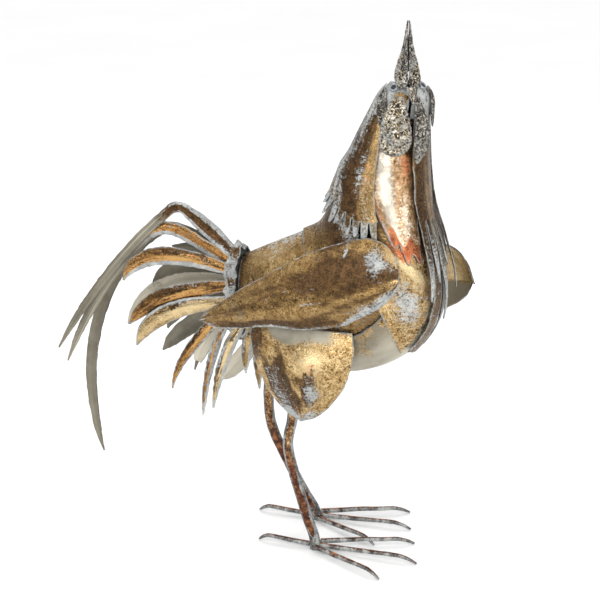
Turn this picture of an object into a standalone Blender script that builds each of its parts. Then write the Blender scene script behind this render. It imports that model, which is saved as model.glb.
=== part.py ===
"""Standing rooster of cut, bent and overlapped sheet metal on two rod legs.

The bird heads along +X with its right side to -Y and its head turned to its right. Pose and outlines are
shares of the height: one part U is a six-hundredth of it, so at the size below a part is a millimetre.
"""

from math import cos, pi, radians, sin, sqrt

import bmesh
import bpy
from mathutils import Matrix, Vector

HEIGHT = 0.600            # ground to the tip of the comb
SHEET = 0.0012            # thickness of the body plates, wings and head plates
FEATHER_SHEET = 0.0011    # thickness of the tail feathers
SEAT_GAP = 0.0003         # clearance where one piece sits against another
PLATE_GAP = 0.0009        # clearance between plates that lap over each other
FEATHER_GAP = 0.0007      # clearance between feathers stacked at the tail root
LEG_RADIUS = 0.0060       # rod of the legs
TOE_RADIUS = 0.0030       # rod of the toes at their root
CLAW_RADIUS = 0.0011      # end of the claws
EYE_RADIUS = 0.0046       # button of the eye
EYE_DEPTH = 0.0024        # thickness of the button
BODY_WIDTH = 0.114        # widest across the body plates
WING_LENGTH = 0.249       # rear tip to front end
THIGH_HEIGHT = 0.112      # top edge to the lowest point of the thigh plate
FAN_ANGLE = 1.55          # degrees that each tail feather is turned from the next

U = HEIGHT / 600.0
PITCH = SHEET + PLATE_GAP
FAN_PITCH = FEATHER_SHEET + FEATHER_GAP
LEG_SIDES = 2             # bevel resolution of the leg rods
TOE_SIDES = 1             # bevel resolution of the toe rods


def at(x, y, z):
    return Vector((x, y, z)) * U


# Sideways places are drawn on a body of this half width and keep their share of it.
DRAWN_HALF = 57.0
BODY_HALF = BODY_WIDTH / 2 / U
WIDEN = BODY_HALF / DRAWN_HALF


def stance(x, y, z):
    """A point under or inside the body, carried sideways with the body's width."""
    return at(x, y * WIDEN, z)


def beside(sign, x, out, z):
    """A point counted outwards from the widest part of the body's side."""
    return at(x, sign * (BODY_HALF + out), z)


def blend(values, t):
    """A smooth curve through evenly spaced values, read at t from 0 to the last index."""
    last = len(values) - 1
    t = max(0.0, min(float(last), t))
    i = min(int(t), last - 1)
    f = t - i
    p0 = values[max(i - 1, 0)]
    p1 = values[i]
    p2 = values[i + 1]
    p3 = values[min(i + 2, last)]
    return 0.5 * (2 * p1 + (p2 - p0) * f + (2 * p0 - 5 * p1 + 4 * p2 - p3) * f * f + (3 * p1 - p0 - 3 * p2 + p3) * f**3)


def profile(points, t):
    """A smooth curve through (share, value) points."""
    for i in range(len(points) - 1):
        if t <= points[i + 1][0]:
            break
    a, b = points[i], points[i + 1]
    f = max(0.0, min(1.0, (t - a[0]) / (b[0] - a[0])))
    before, after = points[max(i - 1, 0)], points[min(i + 2, len(points) - 1)]
    slope_a = (b[1] - before[1]) / (b[0] - before[0])
    slope_b = (after[1] - a[1]) / (after[0] - a[0])
    span = b[0] - a[0]
    h = f * f * (3 - 2 * f)
    return (a[1] * (1 - h) + b[1] * h + span * slope_a * f * (1 - f) ** 2 - span * slope_b * f * f * (1 - f))


def turned(v, axis, degrees):
    return Matrix.Rotation(radians(degrees), 3, axis) @ v


bpy.ops.object.select_all(action="DESELECT")
for thing in list(bpy.data.objects):
    bpy.data.objects.remove(thing, do_unlink=True)
rooster = bpy.data.collections.new("scrap_metal_rooster")
bpy.context.scene.collection.children.link(rooster)
bpy.context.scene.unit_settings.scale_length = 1.0


def finish(name, color, metallic, roughness):
    made = bpy.data.materials.new(name)
    made.use_nodes = True
    shader = made.node_tree.nodes["Principled BSDF"]
    shader.inputs["Base Color"].default_value = (*color, 1.0)
    shader.inputs["Metallic"].default_value = metallic
    shader.inputs["Roughness"].default_value = roughness
    return made


GOLD = finish("gilded_sheet", (0.52, 0.34, 0.11), 0.9, 0.4)
DARK_GOLD = finish("brown_gilded_sheet", (0.30, 0.19, 0.09), 0.8, 0.5)
GREY = finish("grey_painted_sheet", (0.46, 0.47, 0.46), 0.3, 0.55)
COPPER = finish("copper_gilded_sheet", (0.48, 0.24, 0.11), 0.9, 0.35)
PITTED = finish("pitted_sheet", (0.42, 0.38, 0.29), 0.6, 0.6)
ROD = finish("brown_gilded_rod", (0.29, 0.18, 0.10), 0.8, 0.45)
BEAD = finish("eye_button", (0.10, 0.09, 0.09), 0.6, 0.35)


def sheet(name, verts, faces, material, thickness, offset=0.0):
    """A folded or bent sheet: an open surface given its thickness."""
    data = bpy.data.meshes.new(name)
    data.from_pydata([tuple(v) for v in verts], [], faces)
    data.materials.append(material)
    obj = bpy.data.objects.new(name, data)
    rooster.objects.link(obj)
    work = bmesh.new()
    work.from_mesh(data)
    bmesh.ops.recalc_face_normals(work, faces=work.faces)
    work.to_mesh(data)
    work.free()
    thick = obj.modifiers.new("thickness", "SOLIDIFY")
    thick.thickness = thickness
    thick.offset = offset
    thick.use_even_offset = False
    data.shade_smooth()
    data.set_sharp_from_angle(angle=radians(50))
    return obj


def grid_faces(rows, columns):
    faces = []
    for r in range(rows):
        for c in range(columns):
            a = r * (columns + 1) + c
            faces.append((a, a + 1, a + columns + 2, a + columns + 1))
    return faces


# Trunk: the surface that the body and neck plates follow, from the tail root to the crown.
# Each station is its back point and its belly or breast point (x, z) and its half width.
STATIONS = (
    ((-86, 326), (-76, 229), 0.50),
    ((-54, 342), (-40, 214), 0.74),
    ((-23, 357), (4, 207), 0.89),
    ((2, 370), (48, 209), 0.98),
    ((13, 382), (88, 224), 1.00),
    ((19, 394), (118, 247), 1.00),
    ((24, 406), (138, 280), 0.98),
    ((28, 418), (143, 318), 0.95),
    ((32, 430), (135, 358), 0.88),
    ((37, 444), (124, 402), 0.78),
    ((46, 458), (120, 444), 0.66),
    ((57, 480), (119, 478), 0.56),
    ((68, 502), (118, 502), 0.45),
    ((77, 519), (117, 519), 0.34),
    ((88, 531), (106, 531), 0.17),
)
BACK_X = [station[0][0] for station in STATIONS]
BACK_Z = [station[0][1] for station in STATIONS]
FRONT_X = [station[1][0] for station in STATIONS]
FRONT_Z = [station[1][1] for station in STATIONS]
HALF = [station[2] * BODY_HALF for station in STATIONS]


def trunk_point(s, phi):
    """phi runs round the trunk in degrees: 0 at the back, 90 on the right side, 180 at belly and breast."""
    back = Vector((blend(BACK_X, s), 0.0, blend(BACK_Z, s)))
    front = Vector((blend(FRONT_X, s), 0.0, blend(FRONT_Z, s)))
    middle = (back + front) / 2
    side = Vector((0.0, -blend(HALF, s), 0.0))
    return (middle + (back - middle) * cos(radians(phi)) + side * sin(radians(phi))) * U


def trunk_normal(s, phi):
    low, high = max(0.0, s - 0.1), min(14.0, s + 0.1)
    along = trunk_point(high, phi) - trunk_point(low, phi)
    around = trunk_point(s, phi + 2.0) - trunk_point(s, phi - 2.0)
    out = around.cross(along).normalized()
    middle = (trunk_point(s, 0.0) + trunk_point(s, 180.0)) / 2
    return out if out.dot(trunk_point(s, phi) - middle) > 0 else -out


def on_trunk(s, phi, lift):
    return trunk_point(s, phi) + trunk_normal(s, phi) * lift


def plate(name, material, layer, s_low, s_high, phi_low, phi_high, rows, columns, teeth=None, lift=None):
    """A plate bent over the trunk. s and phi limits may change with the other share; teeth cut its low edge."""
    def limit(value, share):
        return value(share) if callable(value) else value

    verts = []
    for r in range(rows + 1):
        for c in range(columns + 1):
            v = c / columns
            s = limit(s_low, v) + (limit(s_high, v) - limit(s_low, v)) * r / rows
            phi = limit(phi_low, r / rows) + (limit(phi_high, r / rows) - limit(phi_low, r / rows)) * v
            height = layer * PITCH + (lift(r / rows, v) * U if lift else 0.0)
            verts.append(on_trunk(s, phi, height))
    faces = grid_faces(rows, columns)
    if teeth:
        depth, spread = teeth
        for c in range(columns):
            a, b = verts[c], verts[c + 1]
            v = (c + 0.5) / columns
            s0, p0, p1 = limit(s_low, v), limit(phi_low, 0.0), limit(phi_high, 0.0)
            phi = p0 + (p1 - p0) * v
            length = depth[c % len(depth)]
            out = layer * PITCH + (lift(0.0, v) * U if lift else 0.0)
            wide = (p1 - p0) / columns
            ring = []
            for share, narrow, raise_by in ((0.5, 0.33, 1.0), (1.0, 0.07, spread)):
                for side in (-1, 1):
                    ring.append(on_trunk(s0 - length * share, phi + side * wide * narrow, out + raise_by * U))
            base = len(verts)
            verts += ring
            faces.append((c, c + 1, base + 1, base))
            faces.append((base, base + 1, base + 3, base + 2))
    return sheet(name, verts, faces, material, SHEET)


# Body plates. Layers count outwards; plates on one layer never lap.
plate("back_plate_rear", GOLD, 0, 0.0, lambda v: 3.4 - 1.4 * abs(v - 0.5), -72, 72, 5, 10)
plate("back_plate_front", DARK_GOLD, 1, lambda v: 2.3 + 0.9 * abs(2 * v - 1), 7.0, -76, 76, 7, 10)
for side, sign in (("right", 1), ("left", -1)):
    plate(f"flank_plate_{side}", GREY, -1, 0.2, 5.6, sign * 66, sign * 121, 7, 5, lift=lambda r, v: -0.4)
    plate(f"breast_plate_{side}", COPPER, 1, lambda v: 4.7 + 0.9 * (1 - v), 8.8, sign * 92, sign * 157, 6, 6)
plate("belly_plate", GREY, 0, 0.0, 8.2, 117, 243, 8, 9)

# Narrow strips down the front of the breast.
plate("breast_strip_inner", DARK_GOLD, 2, 4.9, 8.46, lambda r: 161 - 2 * r, lambda r: 175 - 3 * r, 6, 1)
plate("breast_strip_outer", DARK_GOLD, 2, 5.2, 8.6, lambda r: 179 - 3 * r, lambda r: 192 - 3 * r, 6, 1)
plate("breast_strip_far", GREY, 2, 5.8, 8.5, lambda r: 196 - 3 * r, lambda r: 208 - 3 * r, 5, 1)

# Neck plates; the lower edges of the outer ones are cut into pointed tabs.
THROAT_NEAR = ((0.0, 122), (0.2, 103), (0.42, 90), (0.65, 80), (1.0, 76))
THROAT_FAR = ((0.0, 141), (0.2, 142), (0.42, 146), (0.65, 140), (1.0, 136))
plate("throat_plate", COPPER, 2, lambda v: 7.45 + 0.7 * abs(2 * v - 1.2), 11.9,
      lambda r: profile(THROAT_NEAR, r), lambda r: profile(THROAT_FAR, r), 10, 4)
plate("nape_plate", DARK_GOLD, 2, 6.9, 13.6, -62, 34, 7, 8,
      teeth=((1.0, 1.3, 0.9, 1.2), 2.5), lift=lambda r, v: 3.0 * (1 - r) ** 4)
plate("hackle_plate_right", DARK_GOLD, 3, lambda v: 7.1 + 1.1 * v * v, 13.6, 22, lambda r: 98 - 16 * r, 7, 7,
      teeth=((1.0, 0.8, 1.1, 0.9), 2.0), lift=lambda r, v: 2.5 * (1 - v) * (1 - r) ** 4)
plate("throat_side_plate", GOLD, 3, 8.7, 11.9, lambda r: 150 - 10 * r, lambda r: 196 - 4 * r, 6, 4,
      teeth=((1.9, 1.5, 2.2, 1.2), 2.2))
plate("hackle_plate_left", DARK_GOLD, 3, 8.1, 13.6, 201, 304, 7, 8,
      teeth=((1.3, 1.0, 1.2), 3.0), lift=lambda r, v: 5.0 * (1 - r) ** 4)


def leaf(name, material, stations, columns, thickness, offset=0.0):
    """Lofts stations of (point, side, normal, half width below, above, bow) into a bowed blade."""
    verts = []
    for point, side, normal, below, above, bow in stations:
        for c in range(columns + 1):
            u = 2.0 * c / columns - 1.0
            wide = above if u > 0 else below
            verts.append(point + side * (u * wide) + normal * (bow * (1.0 - u * u)))
    return sheet(name, verts, grid_faces(len(stations) - 1, columns), material, thickness, offset)


# Head: turned to the bird's right.
HEAD_TURN = -53.0
HEAD_CENTRE = at(96, 0, 0)
FACE = Vector((cos(radians(HEAD_TURN)), sin(radians(HEAD_TURN)), 0.0))
FACE_LEFT = Vector((-FACE.y, FACE.x, 0.0))
UP = Vector((0.0, 0.0, 1.0))
FACE_PHI = 180.0 + HEAD_TURN
# How far the cheek plates reach out in front of the head's axis.
MUZZLE = (on_trunk(12.0, FACE_PHI, 4 * PITCH + SHEET / 2) - HEAD_CENTRE).dot(FACE) / U


def head_point(forward, left, z):
    """forward is counted from the front of the cheek plates."""
    return HEAD_CENTRE + (FACE * (MUZZLE + forward) + FACE_LEFT * left + UP * z) * U


plate("cheek_plate_right", GREY, 4, 11.9, 13.9, FACE_PHI - 68, FACE_PHI - 3, 4, 6)
plate("cheek_plate_left", GREY, 4, 11.9, 13.9, FACE_PHI + 3, FACE_PHI + 70, 4, 6)

# Comb: two serrated halves that meet along the front edge and stand apart over the crown.
COMB_TURN = -65.0
COMB_LENGTH = 50.0
COMB_TOP = ((0.0, 546), (0.06, 560), (0.13, 580), (0.22, 600), (0.36, 573), (0.46, 583), (0.58, 558), (0.70, 567), (0.84, 548), (1.0, 552))
COMB_LOW = ((0.0, 536), (0.07, 531.2), (0.13, 532.8), (0.25, 540.5), (0.5, 543), (0.75, 543), (1.0, 540))
COMB_FLARE = ((528, 14.0), (541, 13.5), (557, 11.5), (567, 8.5), (577, 6.5), (593, 4.0), (600, 2.0))
comb_run = Vector((cos(radians(COMB_TURN)), sin(radians(COMB_TURN)), 0.0))
comb_left = Vector((-comb_run.y, comb_run.x, 0.0))
for side, sign in (("right", -1), ("left", 1)):
    verts = []
    for t, top in COMB_TOP:
        low = profile(COMB_LOW, t)
        bulge = sin(min(1.0, t * 3.8) * pi / 2) * (1.0 - 0.3 * t)
        for share in (0.0, 0.12, 0.35, 0.65, 1.0):
            z = top + (low - top) * share
            out = sign * (SHEET / 2 + SEAT_GAP / 2 + profile(COMB_FLARE, z) * bulge * share**0.45 * U)
            verts.append(at(96, 0, z) + comb_run * ((29.5 - COMB_LENGTH * t) * U) + comb_left * (3.8 * U + out))
    sheet(f"comb_{side}", verts, grid_faces(len(COMB_TOP) - 1, 4), PITTED, SHEET)

# Beak: a folded wedge over the throat.
sheet("beak", [head_point(-4.5, -5.0, 532.5), head_point(1.5, 1.0, 535.0), head_point(-4.5, 8.0, 532.5),
               head_point(2.0, -2.8, 525.5), head_point(6.5, 0.6, 527.0), head_point(2.0, 4.6, 525.5),
               head_point(8.0, -1.0, 518.5), head_point(10.0, 0.0, 518.0), head_point(8.0, 1.0, 518.5)],
      grid_faces(2, 2), PITTED, SHEET)

for side, sign in (("right", -1), ("left", 1)):
    phi = FACE_PHI + sign * 42
    centre = on_trunk(13.4, phi, 4 * PITCH + SHEET / 2 + 0.67 * SEAT_GAP)
    out = trunk_normal(13.4, phi)
    bpy.ops.mesh.primitive_cylinder_add(vertices=12, radius=EYE_RADIUS, depth=EYE_DEPTH,
                                        location=centre + out * (EYE_DEPTH / 2 + SEAT_GAP),
                                        rotation=out.to_track_quat("Z", "Y").to_euler())
    eye = bpy.context.active_object
    eye.name = f"eye_{side}"
    eye.data.name = eye.name
    for holder in list(eye.users_collection):
        holder.objects.unlink(eye)
    rooster.objects.link(eye)
    eye.data.materials.append(BEAD)
    crown = eye.modifiers.new("rounded", "BEVEL")
    crown.width = 0.0009
    crown.segments = 1
    crown.limit_method = "ANGLE"
    crown.angle_limit = radians(40)
    eye.data.shade_smooth()
    eye.data.set_sharp_from_angle(angle=radians(50))

# Ear lobes: upright lens shapes lying against the cheeks.
for side, sign, top_spread, low_spread in (("right", -1, 64, 40), ("left", 1, 59, 54)):
    stations = []
    for i in range(7):
        t = i / 6
        s = 13.3 - 1.9 * t
        phi = FACE_PHI + sign * (top_spread + (low_spread - top_spread) * t)
        out = trunk_normal(s, phi)
        across = UP.cross(out).normalized()
        wide = (0.6 + 5.6 * sin(pi * t) ** 0.8) * U
        point = on_trunk(s, phi, 5 * PITCH + 0.8 * U)
        stations.append((point, across, out, wide, wide, -1.2 * U * sin(pi * t)))
    leaf(f"ear_lobe_{side}", PITTED, stations, 2, SHEET)

# Wattles: two hanging leaves that meet in a V below the beak. Edges are read out from the line where they meet.
WATTLES = (
    ("right", -1, -2.5, -76.0, 523, 463, ((0.0, 6), (0.25, 3.5), (0.5, 1.2), (0.75, 1.2), (0.9, 9.5), (1.0, 20)),
     ((0.0, 17), (0.25, 27), (0.5, 33), (0.75, 34.5), (0.9, 31), (1.0, 23))),
    ("left", 1, 2.0, -22.0, 523, 455, ((0.0, 5), (0.25, 2.5), (0.5, 1.2), (0.75, 1.2), (0.9, 3.5), (1.0, 7)),
     ((0.0, 11), (0.25, 19), (0.5, 24), (0.75, 22), (0.9, 17), (1.0, 9))),
)
WATTLE_HANG = 10.5        # how far the wattles hang in front of the cheeks
for side, sign, forward, turn, top, low, near, far in WATTLES:
    out = Vector((cos(radians(turn)), sin(radians(turn)), 0.0))
    across = Vector((-out.y, out.x, 0.0)) * sign
    stations = []
    for i in range(9):
        t = i / 8
        inner, outer = profile(near, t), profile(far, t)
        point = head_point(forward + (WATTLE_HANG - forward) * min(1.0, 2.2 * t), -0.8, top + (low - top) * t)
        point += across * ((inner + outer) / 2 * U) + out * (2.5 * sin(pi * t) * U)
        half = (outer - inner) / 2 * U
        stations.append((point, across, out, half, half, 3.0 * U * sin(pi * min(1.0, t + 0.1))))
    leaf(f"wattle_{side}", PITTED, stations, 4, SHEET)


# Wings: long paddles, hollow towards the body, their front ends round and open.
WING_ABOVE = ((0.0, 0.6), (0.03, 7), (0.18, 19.5), (0.345, 31.5), (0.51, 43), (0.64, 49), (0.77, 52), (0.865, 52),
              (0.92, 50), (0.968, 41), (0.992, 29), (1.0, 22))
WING_BELOW = ((0.0, 0.6), (0.065, 11), (0.19, 17), (0.34, 20), (0.5, 30.5), (0.64, 33.5), (0.71, 33), (0.79, 29.5),
              (0.885, 22.5), (0.95, 13), (0.985, 2), (1.0, -4))


WING_ROLL = radians(10.0)  # the upper edge leans in over the back
WING_SHOULDER = 0.8        # share of the length at which the wing stands against the body


def wing(side, rear, front, roll, sign):
    axis = (front - rear).normalized()
    out = Vector((0.0, sign, 0.0))
    out = (out - axis * out.dot(axis)).normalized()
    rise = axis.cross(out) * sign
    rise, out = rise * cos(roll) - out * sin(roll), out * cos(roll) + rise * sin(roll)
    shoulder = rear.lerp(front, WING_SHOULDER)
    stations = []
    for t in (0.0, 0.05, 0.12, 0.2, 0.3, 0.4, 0.5, 0.6, 0.7, 0.79, 0.87, 0.93, 0.97, 1.0):
        point = shoulder + axis * (WING_LENGTH * (t - WING_SHOULDER))
        above = profile(WING_ABOVE, t) * U
        below = profile(WING_BELOW, t) * U
        cup = (3.0 + 15.0 * sin(pi / 2 * min(1.0, t / 0.7)) - 15.0 * max(0.0, (t - 0.86) / 0.14) ** 2) * U
        stations.append((point - out * (max(0.0, t - 0.86) / 0.14) ** 2 * 7.0 * U, rise, out, below, above, cup))
    leaf(f"wing_{side}", GOLD, stations, 6, SHEET)


wing("right", beside(-1, -113, 3, 263), beside(-1, 123.5, 18.1, 339.5), WING_ROLL, -1)
wing("left", beside(1, -86, 3.7, 243), beside(1, 155.6, 24.9, 299.5), WING_ROLL, 1)


# Thighs: deep shield-shaped cups round the tops of the legs.
THIGH_HALF = ((0.0, 59), (0.2, 61), (0.5, 53.5), (0.69, 43), (0.83, 31), (0.93, 19), (0.975, 11), (1.0, 3))


def thigh(side, x, top, stand, sign):
    stations = []
    for fall in (0.0, 0.14, 0.28, 0.42, 0.56, 0.69, 0.8, 0.89, 0.95, 0.985, 1.0):
        wide = profile(THIGH_HALF, fall) * U
        depth = (8.0 + 12.0 * sin(pi * min(1.0, 1.1 * fall)) - 3.5 * fall) * U
        out = stand - (stand - 46.3) * fall
        point = stance(x + 2 * (1 - fall), sign * out, top) - UP * (THIGH_HEIGHT * fall)
        stations.append((point, Vector((1.0, 0.0, 0.0)), Vector((0.0, sign, 0.0)), wide, wide, depth))
    leaf(f"thigh_{side}", GOLD, stations, 6, SHEET)


thigh("right", 3, 270, 52.1, -1)
thigh("left", -47, 260, 49.6, 1)


def rod(name, points, material, sides):
    """A round bar through points of (centre, radius), its ends capped flat."""
    data = bpy.data.curves.new(name, "CURVE")
    data.dimensions = "3D"
    data.bevel_depth = 1.0
    data.bevel_resolution = sides
    data.use_fill_caps = True
    data.resolution_u = 1
    data.twist_mode = "MINIMUM"
    line = data.splines.new("POLY")
    line.points.add(len(points) - 1)
    for spot, (centre, radius) in zip(line.points, points):
        spot.co = (*centre, 1.0)
        spot.radius = radius
    line.use_smooth = True
    data.materials.append(material)
    obj = bpy.data.objects.new(name, data)
    rooster.objects.link(obj)
    return obj


def smooth_line(corners, count):
    xs = [[corner[k] for corner in corners] for k in range(3)]
    last = len(corners) - 1
    return [Vector([blend(axis, last * i / count) for axis in xs]) for i in range(count + 1)]


# Legs: bent rods that end in a flat sole on the ground.
FEET = {"right": at(15, -36, 0), "left": at(-16, 37, 0)}
SOLE_RISE = 0.0070        # upright end of the leg rod above the ground
LEG_LINES = {
    "right": ((-6, -39.5, 226.4), (-9, -40, 188), (-12, -40, 153), (-17, -40, 124), (-11, -39, 92), (1, -37, 50), (13, -36, 16)),
    "left": ((-62.8, 26.6, 231.7), (-71, 30, 183), (-74, 31, 146), (-70, 31, 112), (-55, 33, 78), (-36, 35, 42), (-19, 37, 14)),
}
SOLE_RADIUS = 1.04 * LEG_RADIUS
for side, corners in LEG_LINES.items():
    top = corners[0][2]
    line = smooth_line([at(x, y * (1 + (WIDEN - 1) * z / top), z) for x, y, z in corners], 11)
    bar = [(point, LEG_RADIUS) for point in line]
    foot = FEET[side]
    bar.append((foot + UP * SOLE_RISE, SOLE_RADIUS))
    bar.append((foot.copy(), SOLE_RADIUS))
    rod(f"leg_{side}", bar, ROD, LEG_SIDES)

# Toes: three forward and one back on each foot, rising a little and ending in claws bent down to the ground.
# The rods start beside one another round the foot of the leg.
TOES = {
    "right": (("outer", 29.0, 113.0, 4.4), ("middle", 4.0, 119.0, 0.0), ("inner", -25.0, 104.0, -4.4), ("back", 185.0, 68.0, 0.0)),
    "left": (("outer", 31.0, 112.0, 4.4), ("middle", 7.5, 114.0, 0.0), ("inner", -24.5, 98.0, -4.4), ("back", 186.0, 70.0, 0.0)),
}
BACK_TOE_SET_OUT = 0.0004
TOE_HEIGHT = 0.0048       # middle of the toes above the ground where they start
OUTER_TOE_HEIGHT = 0.0066
KNUCKLE_HEIGHT = 0.0073   # middle of the toes above the ground at the last knuckle
for side, toes in TOES.items():
    foot = FEET[side]
    for toe, heading, length, beside in toes:
        aim = Vector((cos(radians(heading)), sin(radians(heading)), 0.0))
        across = Vector((-aim.y, aim.x, 0.0))
        tip = foot + aim * length * U
        clear = SOLE_RADIUS + SEAT_GAP
        start = foot + across * beside * U + aim * sqrt(clear**2 - max(0.0, abs(beside) * U - TOE_RADIUS) ** 2)
        if toe == "back":
            start += aim * BACK_TOE_SET_OUT
        height = OUTER_TOE_HEIGHT if toe == "outer" else TOE_HEIGHT
        bar = []
        for share, rise, radius in ((0.0, height, 1.0), (0.2, height + 0.0004, 0.95), (0.45, height + 0.0012, 0.88),
                                    (0.68, 0.96 * KNUCKLE_HEIGHT, 0.82), (0.82, KNUCKLE_HEIGHT, 0.78),
                                    (0.91, 0.71 * KNUCKLE_HEIGHT, 0.66), (0.97, 0.36 * KNUCKLE_HEIGHT, 0.5)):
            bar.append((start + (tip - start) * share + UP * rise, TOE_RADIUS * radius))
        bar.append((tip + UP * CLAW_RADIUS, CLAW_RADIUS))
        rod(f"toe_{side}_{toe}", bar, ROD, TOE_SIDES)


# Tail: blades on edge, stacked side by side at the root and fanned out behind.
TAIL_X = -100.0
ROOT_GAP = 0.0006         # clearance between the tail plate and the ends of the feathers


def feather(name, material, root, yaw, pitch, curl, power, length, widths, steps=9, bow=3.0, kink=(0.0, 0.3, 0.1)):
    """The blade leaves the root at a pitch and curls down along its length; a kink bends it over where it peaks."""
    away = Vector((-cos(yaw), -sin(yaw), 0.0))
    out = Vector((sin(yaw), -cos(yaw), 0.0)) * (1.0 if root.y < 0 else -1.0)
    point = root.copy()
    stations = []
    bend, bend_at, bend_over = kink
    fine = 5 * steps
    for i in range(fine + 1):
        t = i / fine
        f = max(0.0, min(1.0, (t - bend_at) / bend_over + 0.5))
        angle = radians(pitch - bend * f * f * (3 - 2 * f) - curl * t ** power)
        run = away * cos(angle) + UP * sin(angle)
        if i % 5 == 0:
            side = UP * cos(angle) - away * sin(angle) if i else UP
            wide = profile(widths, t) * U
            bowed = bow * U * min(1.0, 4.0 * t) * min(1.0, wide / (6.0 * U))
            stations.append((point.copy(), side, out, wide, wide, bowed))
        if i < fine:
            point += run * (length * U / fine)
    leaf(name, material, stations, 2, FEATHER_SHEET)


def fan(name, material, place, z, *shape):
    """A tail feather in its place in the stack, its root standing on the tail plate."""
    root = Vector((TAIL_X * U - SHEET / 2 - ROOT_GAP, -place * FAN_PITCH, z * U))
    feather(name, material, root, radians(place * FAN_ANGLE), *shape)


BROAD = ((0.0, 6.0), (0.25, 8.5), (0.6, 10.5), (0.85, 7.5), (1.0, 1.0))
SPIKE = ((0.0, 5.0), (0.3, 6.5), (0.6, 5.5), (0.85, 3.0), (1.0, 0.8))
THIN = ((0.0, 4.0), (0.3, 5.0), (0.6, 4.2), (0.85, 2.8), (1.0, 0.8))
BLUNT = ((0.0, 6.0), (0.3, 8.0), (0.7, 9.5), (0.9, 8.5), (1.0, 4.5))
TOP_SICKLE = ((0.0, 7.5), (0.12, 10.0), (0.25, 6.0), (0.45, 5.5), (0.7, 5.0), (0.88, 3.6), (1.0, 0.8))
SECOND_SICKLE = ((0.0, 7.0), (0.2, 8.0), (0.4, 6.5), (0.7, 5.5), (0.88, 4.0), (1.0, 0.8))
LONG_SICKLE = ((0.0, 6.0), (0.3, 6.0), (0.5, 7.2), (0.75, 7.5), (0.92, 5.0), (1.0, 0.8))
SHORT_SICKLE = ((0.0, 5.0), (0.4, 5.5), (0.8, 4.0), (1.0, 0.8))

# Name, finish, place from the middle, root height, pitch, curl, curl power, length, half widths, stations, bow, kink.
fan("sickle_top", DARK_GOLD, 2.5, 327, 43, 30, 0.78, 327, TOP_SICKLE, 16, 2.0, (73, 0.24, 0.08))
fan("sickle_second", COPPER, 1.5, 311, 30, 34, 1.16, 318, SECOND_SICKLE, 15, 2.5, (65, 0.29, 0.22))
fan("sickle_hanging", GREY, -1.5, 312, 39.5, 110.5, 0.79, 429, LONG_SICKLE, 18, 2.5, (38, 0.21, 0.09))
fan("sickle_far", GREY, -4.5, 305, 30, 41, 0.8, 92, SHORT_SICKLE, 7)
fan("fan_gold", GOLD, 3.5, 306, 12, 84, 2.5, 147, BROAD)
fan("fan_grey_upper", GREY, -2.5, 289, -0.5, 65, 1.45, 174, BROAD)
fan("fan_brown", DARK_GOLD, 4.5, 289, -11, 47, 2.25, 141, BROAD)
fan("fan_gold_lower", GOLD, 5.5, 271, -10, 65, 2.25, 137, BROAD)
fan("fan_olive", GREY, -3.5, 268, -32, 22, 3.0, 130, BROAD)
fan("spike_upper", DARK_GOLD, 7.5, 267, -48.5, 35, 3.0, 127, SPIKE)
fan("leaf_pale", GREY, -5.5, 261, -45.5, 35, 3.0, 101, BLUNT, 8)
fan("spike_long", GREY, 6.5, 250, -46, 40, 0.4, 125, THIN)
fan("fan_far_upper", GREY, -6.5, 298, 4, 60, 1.8, 138, BROAD, 8)
fan("fan_far_middle", DARK_GOLD, -7.5, 280, -14, 55, 1.8, 134, BROAD, 8)
fan("spike_far", DARK_GOLD, -8.5, 262, -42, 32, 1.6, 122, SPIKE, 8)

# Short pointed tips under the wing, lying against the rear of the body.
feather("tip_rear", DARK_GOLD, stance(-78.2, -28.0, 254), 0.12, -58, 26, 0.9, 112, SPIKE, 9)
feather("tip_thigh_rear", GREY, stance(-66, -31.6, 252), 0.1, -77, 14, 1.0, 56, SPIKE, 6, 1.5)
feather("tip_thigh_front", GREY, stance(-55, -34.6, 248), 0.0, -88, 6, 1.0, 66, SPIKE, 6, 1.5)
feather("leaf_tan", GREY, stance(-76, 17, 230), -0.2, -55, -10, 1.0, 92, BROAD, 7)

# Tail plate: a crumpled cap that closes the rear of the body; the feathers stand on its flat back.
CAP = (
    ((-87.3, 331), (-79, 227), 0.51, 1.0),
    ((-95, 335), (-90, 227), 0.50, 1.0),
    ((TAIL_X, 331), (TAIL_X, 231), 0.46, 0.4),
    ((TAIL_X, 310), (TAIL_X, 252), 0.26, 0.0),
)
verts = []
folds = 22
for ring, (back, low, half, rough) in enumerate(CAP):
    for k in range(folds):
        angle = 2 * pi * k / folds
        crumple = 1.0 + rough * ((0.05 if (k + ring) % 2 else -0.04) + 0.03 * sin(5 * angle + ring * 2.1))
        centre = Vector(((back[0] + low[0]) / 2, 0.0, (back[1] + low[1]) / 2))
        rise = Vector((back[0], 0.0, back[1])) - centre
        spot = centre + (rise * cos(angle) + Vector((0.0, -half * BODY_HALF, 0.0)) * sin(angle)) * crumple
        verts.append(spot * U)
faces = [(r * folds + k, r * folds + (k + 1) % folds, (r + 1) * folds + (k + 1) % folds, (r + 1) * folds + k)
         for r in range(3) for k in range(folds)]
faces.append(tuple(3 * folds + k for k in range(folds)))
sheet("tail_plate", verts, faces, GREY, SHEET)

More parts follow.
